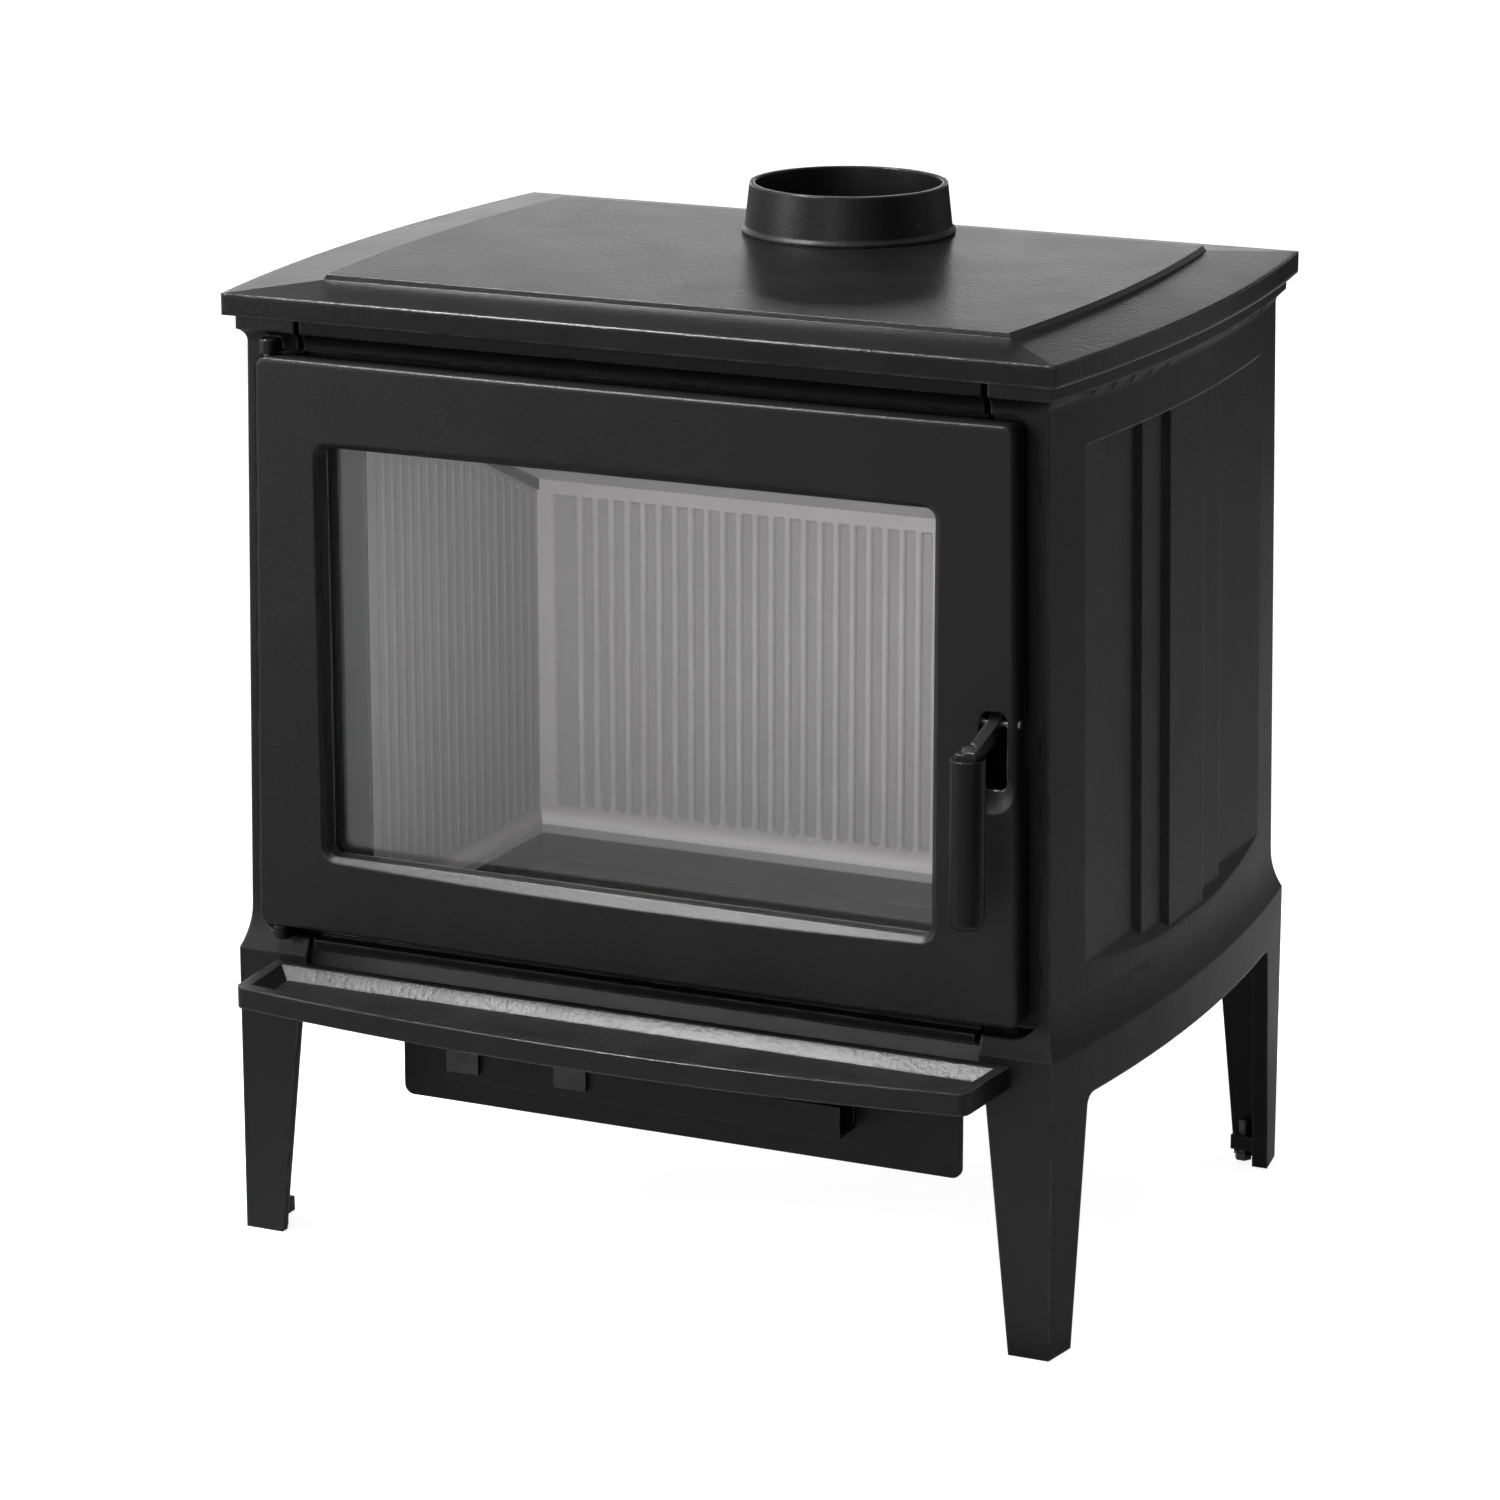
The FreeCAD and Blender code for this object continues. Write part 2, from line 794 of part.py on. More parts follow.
def shelf_bolt_place():
    """The middle of the leg's front face where the shelf's end lies against it."""
    x = leg_half_width - mm.leg_top_width + mm.shelf_rim
    z = crease - mm.shelf_gap - mm.shelf_thickness / 2
    return x, z


def side_bolt_holes():
    """The holes in a right-hand side casting for the frame, back plate and shelf bolts."""
    holes = []
    clear = mm.thread_clearance
    frame_bolt_x = flange_inner + mm.frame_flange_lap / 2
    for z in frame_bolt_heights():
        holes.append(rod("frame_hole", mm.screw_radius + clear, mm.bolt_bite + clear, frame_bolt_x,
                         flange_back, z, "-y"))
    back_bolt_x = flange_inner + mm.back_plate_lap / 2
    for z in back_bolt_heights():
        holes.append(rod("back_hole", mm.bolt_radius + clear, mm.flange_thickness + 2 * mm.overrun,
                         back_bolt_x, back_face - mm.overrun, z, "+y"))
    x, z = shelf_bolt_place()
    holes.append(rod("shelf_hole", mm.screw_radius + clear, mm.leg_wall + 2 * mm.overrun, x,
                     leg_front - mm.overrun, z, "+y"))
    return holes


def hinge_lug(low, high):
    """A rounded lug on the left flange that holds a hinge pin in front of the rebate."""
    boss = rod("hinge_boss", mm.hinge_lug_radius, high - low, hinge_x, hinge_y, low)
    web = box(
        "hinge_web",
        (hinge_x - mm.hinge_lug_radius, hinge_x + mm.hinge_lug_radius),
        (hinge_y, rebate_floor + mm.overrun),
        (low, high),
    )
    return fuse("hinge_lug", boss, web)


lower_lug_top = door_bottom - mm.hinge_lug_gap
upper_lug_bottom = door_top + mm.hinge_lug_gap


def side_castings():
    right = side_casting()
    notch = box(
        "latch_notch",
        (flange_inner - mm.overrun, flange_inner + mm.latch_notch_width),
        (leg_front, flange_back + mm.overrun),
        (pivot_z - mm.latch_notch_below, pivot_z + mm.latch_notch_above),
    )
    keep("side_casting_right", cut("right_side", right, notch, *keeper_holes()))
    lugs = [
        hinge_lug(lower_lug_top - mm.hinge_lug_height, lower_lug_top),
        hinge_lug(upper_lug_bottom, upper_lug_bottom + mm.hinge_lug_height),
    ]
    bores = [
        rod("pin_bore", mm.hinge_pin_radius, mm.hinge_lug_height + 2 * mm.overrun, hinge_x, hinge_y, low)
        for low in (lower_lug_top - mm.hinge_lug_height - mm.overrun, upper_lug_bottom - mm.overrun)
    ]
    left = fuse("left_side", mirror("left_mirror", right), *lugs)
    keep("side_casting_left", cut("left_bored", left, *bores))


def hinge_pins():
    length = mm.hinge_lug_height + mm.hinge_lug_gap + mm.hinge_pin_reach
    lower = rod("lower_pin", mm.hinge_pin_radius, length, hinge_x, hinge_y,
                lower_lug_top - mm.hinge_lug_height)
    upper = rod("upper_pin", mm.hinge_pin_radius, length, hinge_x, hinge_y,
                upper_lug_bottom + mm.hinge_lug_height - length)
    keep("hinge_pin_lower", lower)
    keep("hinge_pin_upper", upper)


def front_frame():
    """The cast front between the sides: cornice, sill lip, the fire mouth and a bolting flange."""
    cove = (mm.cove_height * mm.cove_height + mm.cove_depth * mm.cove_depth) / (2 * mm.cove_depth)
    lip_top = door_bottom - mm.rebate_bottom_gap
    lip_bottom = lip_top - mm.sill_lip_thickness
    profile = [
        (rebate_floor, crease),
        (flange_back, crease),
        (flange_back, side_top),
        (body_front - mm.cove_depth, side_top),
        (body_front - mm.cove_depth, cove_top, cove, 1),
        (body_front, neck),
        (body_front, rebate_top),
        (rebate_floor, rebate_top),
        (rebate_floor, lip_top),
        (rebate_floor - mm.sill_lip_depth, lip_top),
        (rebate_floor - mm.sill_lip_depth, lip_bottom),
        (rebate_floor, lip_bottom),
    ]
    face = prism("frame_face", "YZ", profile, -frame_half_width, frame_half_width)
    flange = box(
        "frame_flange",
        (-frame_flange_half, frame_flange_half),
        (flange_back, frame_back),
        (crease + mm.frame_end_gap, side_top - mm.frame_end_gap),
    )
    mouth_outline = rectangle((-mouth_half, mouth_half), (mouth_bottom, mouth_top))
    mouth = prism("mouth", "XZ", mouth_outline, leg_front, frame_back + mm.overrun, mm.mouth_radius,
                  mouth_outline)
    notch = box(
        "frame_notch",
        (frame_half_width, frame_flange_half + mm.overrun),
        (flange_back - mm.overrun, frame_back + mm.overrun),
        (pivot_z - mm.latch_notch_below, pivot_z + mm.latch_notch_above),
    )
    bolts = []
    holes = []
    length = mm.frame_flange_thickness + mm.bolt_bite
    for side in (-1, 1):
        x = side * (flange_inner + mm.frame_flange_lap / 2)
        for z in frame_bolt_heights():
            holes.append(rod("frame_bolt_hole", mm.screw_radius + mm.thread_clearance,
                             mm.frame_flange_thickness + 2 * mm.overrun, x, flange_back - mm.overrun,
                             z, "+y"))
            bolts.append(bolt("frame_bolt", mm.screw_radius, length, mm.screw_head_radius,
                              mm.screw_head_height, x, frame_back, z, "+y"))
    frame = fuse("frame_body", face, flange)
    keep("front_frame", cut("front_frame", frame, mouth, notch, *holes, *deflector_holes()))
    keep("front_frame_bolts", group("front_frame_bolts", bolts))


def back_plate():
    half = flange_inner + mm.back_plate_lap
    plate = box("back_panel", (-half, half), (back_plate_front, back_face), (ledge_top, side_top))
    holes = []
    bolts = []
    length = mm.flange_thickness + mm.back_plate_thickness
    for side in (-1, 1):
        x = side * (flange_inner + mm.back_plate_lap / 2)
        for z in back_bolt_heights():
            holes.append(rod("plate_hole", mm.bolt_radius + mm.thread_clearance,
                             mm.back_plate_thickness + 2 * mm.overrun, x,
                             back_plate_front - mm.overrun, z, "+y"))
            bolts.append(bolt("back_bolt", mm.bolt_radius, length, mm.bolt_head_radius,
                              mm.bolt_head_height, x, mm.body_rear, z, "+y"))
    keep("back_plate", cut("back_plate", plate, *holes))
    keep("back_plate_bolts", group("back_plate_bolts", bolts))


def top_outline(half_width, front, rear, bow):
    half = (as_size(rear) - front) / 2
    radius = (half * half + bow * bow) / (2 * bow)
    return [
        (-half_width, front),
        (half_width, front, radius, -1),
        (half_width, rear),
        (-half_width, rear, radius, -1),
    ]


def top_plate():
    rim = top_outline(top_half_width, top_front, top_rear, mm.top_bow)
    inner_half = top_half_width - mm.border_width
    inner_front = top_front + mm.border_width
    inner_rear = top_rear - mm.border_width
    share = (inner_rear - inner_front) / (top_rear - top_front)
    panel_bow = mm.top_bow * share * share
    panel = top_outline(inner_half, inner_front, inner_rear, panel_bow)
    edge = mm.panel_edge
    panel_crown = top_outline(inner_half - edge, inner_front + edge, inner_rear - edge, panel_bow)
    slab = prism("top_slab", "XY", rim, side_top, rim_top)
    slope = loft("top_slope", [("XY", rim_top, rim), ("XY", border_top, panel)])
    raised = loft("top_panel", [("XY", border_top, panel), ("XY", panel_top, panel_crown)])
    pocket = box(
        "top_pocket",
        (-(top_half_width - mm.top_pocket_margin), top_half_width - mm.top_pocket_margin),
        (top_front + mm.top_pocket_margin, top_rear - mm.top_pocket_margin),
        (side_top - mm.overrun, side_top + mm.top_pocket_depth),
    )
    flue = rod("flue_hole", mm.flue_bore_radius, panel_top - side_top + 2 * mm.overrun, 0, flue_y,
               side_top - mm.overrun)
    full = fuse("top_full", slab, slope, raised)
    bolts, holes = collar_bolts()
    keep("top_plate", cut("top_plate", full, pocket, flue, *holes))
    keep("collar_bolts", group("collar_bolts", bolts))
    keep("flue_collar", flue_collar(collar_bolts()[1]))


def collar_bolts():
    """Bolts from below the top plate into the foot of the collar, with their holes."""
    circle = (mm.flue_bore_radius + mm.collar_base_radius - mm.panel_edge) / 2
    seat = side_top + mm.top_pocket_depth
    length = panel_top - seat + mm.collar_bolt_depth
    bolts = []
    holes = []
    count = int(mm.collar_bolt_count.value)
    for index in range(count):
        turn = f"({index} * 360 / {mm.collar_bolt_count.text} - 90)"
        angle = math.radians(index * 360 / count - 90)
        x = circle * Size(math.cos(angle), f"cos({turn})")
        y = flue_y + circle * Size(math.sin(angle), f"sin({turn})")
        bolts.append(bolt("collar_bolt", mm.collar_bolt_radius, length, mm.collar_head_radius,
                          mm.collar_head_height, x, y, seat, "-z"))
        holes.append(rod("collar_hole", mm.collar_bolt_radius + mm.thread_clearance,
                         length + mm.thread_clearance, x, y, seat))
    return bolts, holes


def flue_collar(holes):
    """A tapered round spigot with a thin bead round its foot."""
    body = doc.addObject("PartDesign::Body", fresh("collar"))
    bead_top = panel_top + mm.collar_bead_height
    collar_top = panel_top + mm.collar_height
    profile = [
        (mm.flue_bore_radius, panel_top),
        (mm.collar_bead_radius, panel_top),
        (mm.collar_bead_radius, panel_top + mm.collar_bead_height / 2),
        (mm.collar_base_radius - mm.panel_edge / 2, bead_top),
        (mm.collar_top_radius, collar_top),
        (mm.flue_bore_radius, collar_top),
    ]
    sketch = sketch_on(body, "XZ", -flue_y, profile)
    turn = doc.addObject("Part::Revolution", fresh("collar_turn"))
    turn.Source = sketch
    turn.Axis = FreeCAD.Vector(0, 0, 1)
    bind(turn, "Base.y", flue_y)
    turn.Angle = 360
    turn.Solid = True
    return cut("flue_collar", turn, *holes)


def ash_shelf():
    """The bowed shelf below the door: a trough with a raised rim, against the legs."""
    top = crease - mm.shelf_gap
    bottom = top - mm.shelf_thickness
    front = leg_front - mm.shelf_depth
    back_half = mm.waist_half_width - mm.shelf_inset + mm.shelf_flare
    front_half = mm.waist_half_width - mm.shelf_inset

    def outline(inset):
        half = front_half - inset
        radius = (half * half + mm.shelf_bow * mm.shelf_bow) / (2 * mm.shelf_bow)
        return [
            (-half, front + inset, radius, -1),
            (half, front + inset),
            (back_half - inset, leg_front - inset),
            (-(back_half - inset), leg_front - inset),
        ]

    edge = outline(0)
    slab = prism("shelf_slab", "XY", edge, bottom, top, mm.shelf_corner_radius, edge[:2])
    trough = loft(
        "shelf_trough",
        [
            ("XY", top - mm.shelf_trough_depth, outline(mm.shelf_rim + mm.shelf_trough_slope)),
            ("XY", top, outline(mm.shelf_rim)),
        ],
    )
    x, z = shelf_bolt_place()
    bolts = []
    holes = []
    length = mm.leg_wall + mm.bolt_bite
    for side in (-1, 1):
        bolts.append(bolt("shelf_bolt", mm.screw_radius, length, mm.screw_head_radius,
                          mm.screw_head_height, side * x, leg_front + mm.leg_wall, z, "+y"))
        holes.append(rod("shelf_bolt_hole", mm.screw_radius + mm.thread_clearance,
                         mm.bolt_bite + mm.thread_clearance, side * x, leg_front, z, "-y"))
    keep("ash_shelf", cut("ash_shelf", slab, trough, *holes))
    keep("shelf_bolts", group("shelf_bolts", bolts))


def hearth():
    """The hearth basin on the ledges of the sides, with the grate in its floor."""
    half = mm.waist_half_width - mm.hearth_lap
    front = frame_back
    rear = back_plate_front
    inner_half = mm.waist_half_width - mm.brick_inset - mm.brick_overhang
    outer_half = inner_half + mm.basin_wall
    brick_face = rear - mm.back_brick_gap - mm.brick_thickness
    floor = box("hearth_floor", (-half, half), (front, rear), (ledge_top, floor_top))
    ring = box("basin_ring", (-outer_half, outer_half),
               (front, brick_face - mm.brick_overhang + mm.basin_wall), (ledge_top, basin_top))
    basin = box("basin", (-inner_half, inner_half),
                (front + mm.basin_front_wall, brick_face - mm.brick_overhang),
                (floor_top, basin_top + mm.overrun))
    grate_half = mm.grate_length / 2
    grate_front = -mm.air_box_front + mm.grate_set_back
    grate_rear = grate_front + mm.grate_depth
    clear = mm.grate_clearance
    seat = box("grate_seat", (-(grate_half + clear), grate_half + clear),
               (grate_front - clear, grate_rear + clear),
               (floor_top - mm.grate_thickness, floor_top + mm.overrun))
    ledge = mm.grate_ledge
    fall = box("ash_fall", (-(grate_half - ledge), grate_half - ledge),
               (grate_front + ledge, grate_rear - ledge),
               (ledge_top - mm.overrun, floor_top + mm.overrun))
    holes = air_box_holes()
    keep("hearth_basin", cut("hearth_basin", fuse("hearth", floor, ring), basin, seat, fall, *holes))
    grate = prism("grate", "XY", rectangle((-grate_half, grate_half), (grate_front, grate_rear)),
                  floor_top - mm.grate_thickness, floor_top)
    span = mm.grate_length - 2 * mm.grate_border - mm.grate_slot
    first = -(grate_half - mm.grate_border)
    slot = rectangle((first, first + mm.grate_slot),
                     (grate_front + mm.grate_border, grate_rear - mm.grate_border))
    repeat_pocket(grate, slot, floor_top, mm.grate_thickness + mm.overrun, span, mm.grate_pitch)
    keep("fire_grate", grate)


def repeat_pocket(body, outline, level, depth, span, pitch, plane="XY"):
    """Pockets one outline into a body from its plane and repeats it in a row over the span."""
    sketch = sketch_on(body, plane, level, outline)
    pocket = body.newObject("PartDesign::Pocket", fresh("Pocket"))
    pocket.Profile = sketch
    bind(pocket, "Length", depth)
    doc.recompute()
    row = body.newObject("PartDesign::LinearPattern", fresh("Row"))
    row.Originals = [pocket]
    row.Direction = (sketch, ["H_Axis"])
    bind(row, "Length", span)
    row.setExpression("Occurrences", f"floor({span.text} / {pitch.text}) + 1")
    body.Tip = row
    return row


def bricks():
    """The fluted fire bricks on the rim of the basin: one at each side and one across the back."""
    face = mm.waist_half_width - mm.brick_inset
    back = face + mm.brick_thickness
    front = frame_back + mm.brick_front_gap - mm.basin_front_wall
    brick_face = back_plate_front - mm.back_brick_gap - mm.brick_thickness
    rear = brick_face + mm.brick_thickness
    low = basin_top + mm.flute_border_foot
    high = brick_top - mm.flute_border_head
    back_brick = prism("back_brick", "XZ", rectangle((-face, face), (basin_top, brick_top)), brick_face,
                       rear)
    span = 2 * (face - mm.flute_border_width) - mm.flute_width
    slot = rectangle((-(face - mm.flute_border_width), -(face - mm.flute_border_width) + mm.flute_width),
                     (low, high))
    repeat_pocket(back_brick, slot, -brick_face, mm.flute_depth, span, mm.flute_pitch, "XZ")
    keep("back_brick", back_brick)
    side_span = rear - front - 2 * mm.flute_border_width - mm.flute_width
    start = front + mm.flute_border_width
    low_top = basin_top + mm.side_brick_rear_height
    high_top = basin_top + mm.side_brick_front_height
    slope_front = brick_face - mm.side_brick_slope
    side_slot = rectangle((start, start + mm.flute_width), (low, low_top - mm.flute_border_head))
    side_outline = [
        (front, basin_top),
        (rear, basin_top),
        (rear, low_top),
        (brick_face, low_top),
        (slope_front, high_top),
        (front, high_top),
    ]
    side_brick = prism("side_brick", "YZ", side_outline, -back, -face)
    repeat_pocket(side_brick, side_slot, -face, mm.flute_depth, side_span, mm.flute_pitch, "YZ")
    keep("side_brick_left", side_brick)
    keep("side_brick_right", mirror("right_brick", side_brick))
    left_strip = box("brick_retainer", (-back, -face), (front - mm.retainer_thickness, front),
                     (basin_top, high_top))
    keep("brick_retainers", group("brick_retainers", [left_strip, mirror("right_strip", left_strip)]))
    baffle(brick_face, low_top, high_top)


def baffle(brick_face, low_top, high_top):
    """The sloping baffle plate, against the back brick, and its two rails on the side bricks."""
    face = mm.waist_half_width - mm.brick_inset
    slope_front = brick_face - mm.side_brick_slope
    fall = (high_top - low_top) / mm.side_brick_slope

    def seat(y):
        return low_top + mm.baffle_rail + (brick_face - y) * fall

    rear = brick_face - mm.baffle_set_in
    front = rear - mm.baffle_depth
    rail_end = brick_face - mm.running_clearance
    rail_outline = [
        (rail_end, seat(rail_end) - mm.baffle_rail),
        (slope_front, high_top),
        (slope_front, high_top + mm.baffle_rail),
        (rail_end, seat(rail_end)),
    ]
    lap = face + mm.baffle_lap
    rail = prism("baffle_rail", "YZ", rail_outline, -lap, -face + mm.baffle_rail_lap)
    keep("baffle_supports", group("baffle_supports", [rail, mirror("right_rail", rail)]))
    plate_outline = [
        (front, seat(front)),
        (rear, seat(rear)),
        (rear, seat(rear) + mm.baffle_thickness),
        (front, seat(front) + mm.baffle_thickness),
    ]
    keep("baffle_plate", prism("baffle", "YZ", plate_outline, -lap, lap))


def deflector_places():
    return (-mouth_half / 2, mouth_half / 2)


def deflector_height():
    return mouth_top + mm.deflector_rise


def deflector_holes():
    return [
        rod("deflector_hole", mm.screw_radius + mm.thread_clearance, mm.screw_bite, x, frame_back,
            deflector_height(), "-y")
        for x in deflector_places()
    ]


def deflector():
    """The bent strip that sends air down over the inside of the glass."""
    thick = mm.deflector_thickness
    foot = mouth_top
    top = foot + mm.deflector_height
    profile = [
        (frame_back, foot),
        (frame_back + thick, foot),
        (frame_back + thick, top - thick),
        (frame_back + mm.deflector_depth, top - thick),
        (frame_back + mm.deflector_depth, top),
        (frame_back, top),
    ]
    strip = prism("deflector", "YZ", profile, -mouth_half, mouth_half)
    holes = []
    screws = []
    for x in deflector_places():
        holes.append(rod("strip_hole", mm.screw_radius + mm.thread_clearance, thick + 2 * mm.overrun, x,
                         frame_back - mm.overrun, deflector_height(), "+y"))
        screws.append(bolt("deflector_screw", mm.screw_radius, thick + mm.screw_bite - mm.thread_clearance,
                           mm.screw_head_radius, mm.screw_head_height, x, frame_back + thick,
                           deflector_height(), "+y"))
    keep("air_wash_deflector", cut("deflector_strip", strip, *holes))
    keep("deflector_screws", group("deflector_screws", screws))


air_box_bottom = ledge_top - mm.air_box_height
air_box_half = mm.waist_half_width - mm.air_box_inset
box_half = air_box_half - mm.air_box_set_in
box_rear = mm.air_box_depth - mm.air_box_front
rail_left = air_box_half - mm.rail_left_inset
rail_right = air_box_half - mm.rail_right_inset
primary_place = air_box_half - mm.primary_inset
secondary_place = air_box_half - mm.secondary_inset


def air_box_screw_places():
    x = box_half + mm.air_box_lip / 2
    for y in (-mm.air_box_front + mm.air_box_lip, box_rear - mm.air_box_lip):
        yield -x, y
        yield x, y


def air_box_holes():
    return [
        rod("box_screw_hole", mm.screw_radius + mm.thread_clearance, mm.screw_bite, x, y, ledge_top)
        for x, y in air_box_screw_places()
    ]


def air_box():
    """The sheet steel box under the hearth with its wide front plate, lips and air inlets."""
    half, wall, lip = box_half, mm.air_box_wall, mm.air_box_lip
    front, rear = -mm.air_box_front, box_rear
    plate_outline = rectangle((-air_box_half, air_box_half), (air_box_bottom, ledge_top))
    plate = prism("box_plate", "XZ", plate_outline, front, front + wall, mm.air_box_corner,
                  plate_outline[:2])
    outline = rectangle((-half, half), (air_box_bottom, ledge_top))
    outer = prism("box_outer", "XZ", outline, front, rear, mm.air_box_corner, outline[:2])
    inner_outline = rectangle((-(half - wall), half - wall), (air_box_bottom + wall, ledge_top + mm.overrun))
    inner = prism("box_inner", "XZ", inner_outline, front + wall, rear - wall, mm.air_box_corner - wall,
                  inner_outline[:2])
    lips = [
        box("box_lip", (half - wall, half + lip), (front, rear), (ledge_top - wall, ledge_top)),
        box("box_lip", (-(half + lip), -(half - wall)), (front, rear), (ledge_top - wall, ledge_top)),
    ]
    tools = [inner]
    screws = []
    for x, y in air_box_screw_places():
        tools.append(rod("lip_hole", mm.screw_radius + mm.thread_clearance, wall + 2 * mm.overrun, x, y,
                         ledge_top - wall - mm.overrun))
        screws.append(bolt("box_screw", mm.screw_radius, wall + mm.screw_bite - mm.thread_clearance,
                           mm.screw_head_radius, mm.screw_head_height, x, y, ledge_top - wall, "-z"))
    for x in (-primary_place, -secondary_place):
        tools.append(rod("air_inlet", mm.inlet_radius, wall + 2 * mm.overrun, x, front - mm.overrun,
                         rail_bottom + mm.rail_height / 2, "+y"))
    tools.extend(rail_screw_holes(front - mm.overrun, wall + 2 * mm.overrun))
    keep("air_box", cut("air_box", fuse("box_shell", plate, outer, *lips), *tools))
    keep("air_box_screws", group("air_box_screws", screws))
    pan_bottom = air_box_bottom + wall
    pan_front = front + wall + mm.pan_gap
    pan_rear = rear - wall - mm.pan_gap
    pan = box("pan", (-mm.pan_half_width, mm.pan_half_width), (pan_front, pan_rear),
              (pan_bottom, pan_bottom + mm.pan_height))
    inside = box("pan_inside", (-(mm.pan_half_width - mm.pan_wall), mm.pan_half_width - mm.pan_wall),
                 (pan_front + mm.pan_wall, pan_rear - mm.pan_wall),
                 (pan_bottom + mm.pan_wall, pan_bottom + mm.pan_height + mm.overrun))
    keep("ash_pan", cut("ash_pan", pan, inside))


rail_bottom = air_box_bottom + mm.rail_rise
rail_front = -mm.air_box_front - mm.rail_depth
rail_screw_shares = (0.4, 0.8)


def rail_screw_holes(start, length):
    z = rail_bottom + mm.rail_height / 2
    return [
        rod("rail_screw_hole", mm.screw_radius + mm.thread_clearance, length, x, start, z, "+y")
        for x in rail_screw_places()
    ]


def rail_screw_places():
    return [rail_right * share for share in rail_screw_shares]


def air_rail():
    """The folded channel on the front of the air box, in which the two slides run."""
    wall = mm.rail_wall
    back = -mm.air_box_front
    top = rail_bottom + mm.rail_height
    profile = [
        (rail_front, rail_bottom),
        (back, rail_bottom),
        (back, top),
        (back - wall, top),
        (back - wall, rail_bottom + wall),
        (rail_front + wall, rail_bottom + wall),
        (rail_front + wall, top),
        (rail_front, top),
    ]
    rail = prism("rail", "YZ", profile, -rail_left, rail_right)
    inlets = [
        rod("rail_inlet", mm.inlet_radius, wall + 2 * mm.overrun, x, back - wall - mm.overrun,
            rail_bottom + mm.rail_height / 2, "+y")
        for x in (-primary_place, -secondary_place)
    ]
    holes = rail_screw_holes(back - wall - mm.overrun, wall + 2 * mm.overrun)
    screws = [
        bolt("rail_screw", mm.screw_radius, wall + mm.air_box_wall, mm.screw_head_radius,
             mm.screw_head_height, x, back - wall, rail_bottom + mm.rail_height / 2, "-y")
        for x in rail_screw_places()
    ]
    keep("air_rail", cut("air_rail", rail, *inlets, *holes))
    keep("rail_screws", group("rail_screws", screws))
    keep("primary_air_slide", air_slide(-primary_place))
    keep("secondary_air_slide", air_slide(-secondary_place))


def air_slide(x):
    """A flat bar against the back of the rail with a tab bent over the lip to pull it by."""
    clear = mm.slide_clearance
    bar_back = -mm.air_box_front - mm.rail_wall - clear
    bar_front = bar_back - mm.slide_thickness
    rail_top = rail_bottom + mm.rail_height
    tab_top = rail_top + mm.tab_rise
    tab_front = rail_front - mm.tab_gap - mm.tab_thickness
    start, end = x - mm.tab_width / 2, x + mm.tab_width / 2
    bar = box("slide_bar", (start, start + mm.slide_length), (bar_front, bar_back),
              (rail_bottom + mm.rail_wall + clear, rail_top))
    stem = box("slide_stem", (start, end), (bar_front, bar_back), (rail_top, tab_top))
    bridge = box("slide_bridge", (start, end), (tab_front, bar_back), (tab_top - mm.tab_thickness, tab_top))
    tab = box("slide_tab", (start, end), (tab_front, tab_front + mm.tab_thickness),
              (tab_top - mm.tab_height, tab_top))
    return fuse("air_slide", bar, stem, bridge, tab)


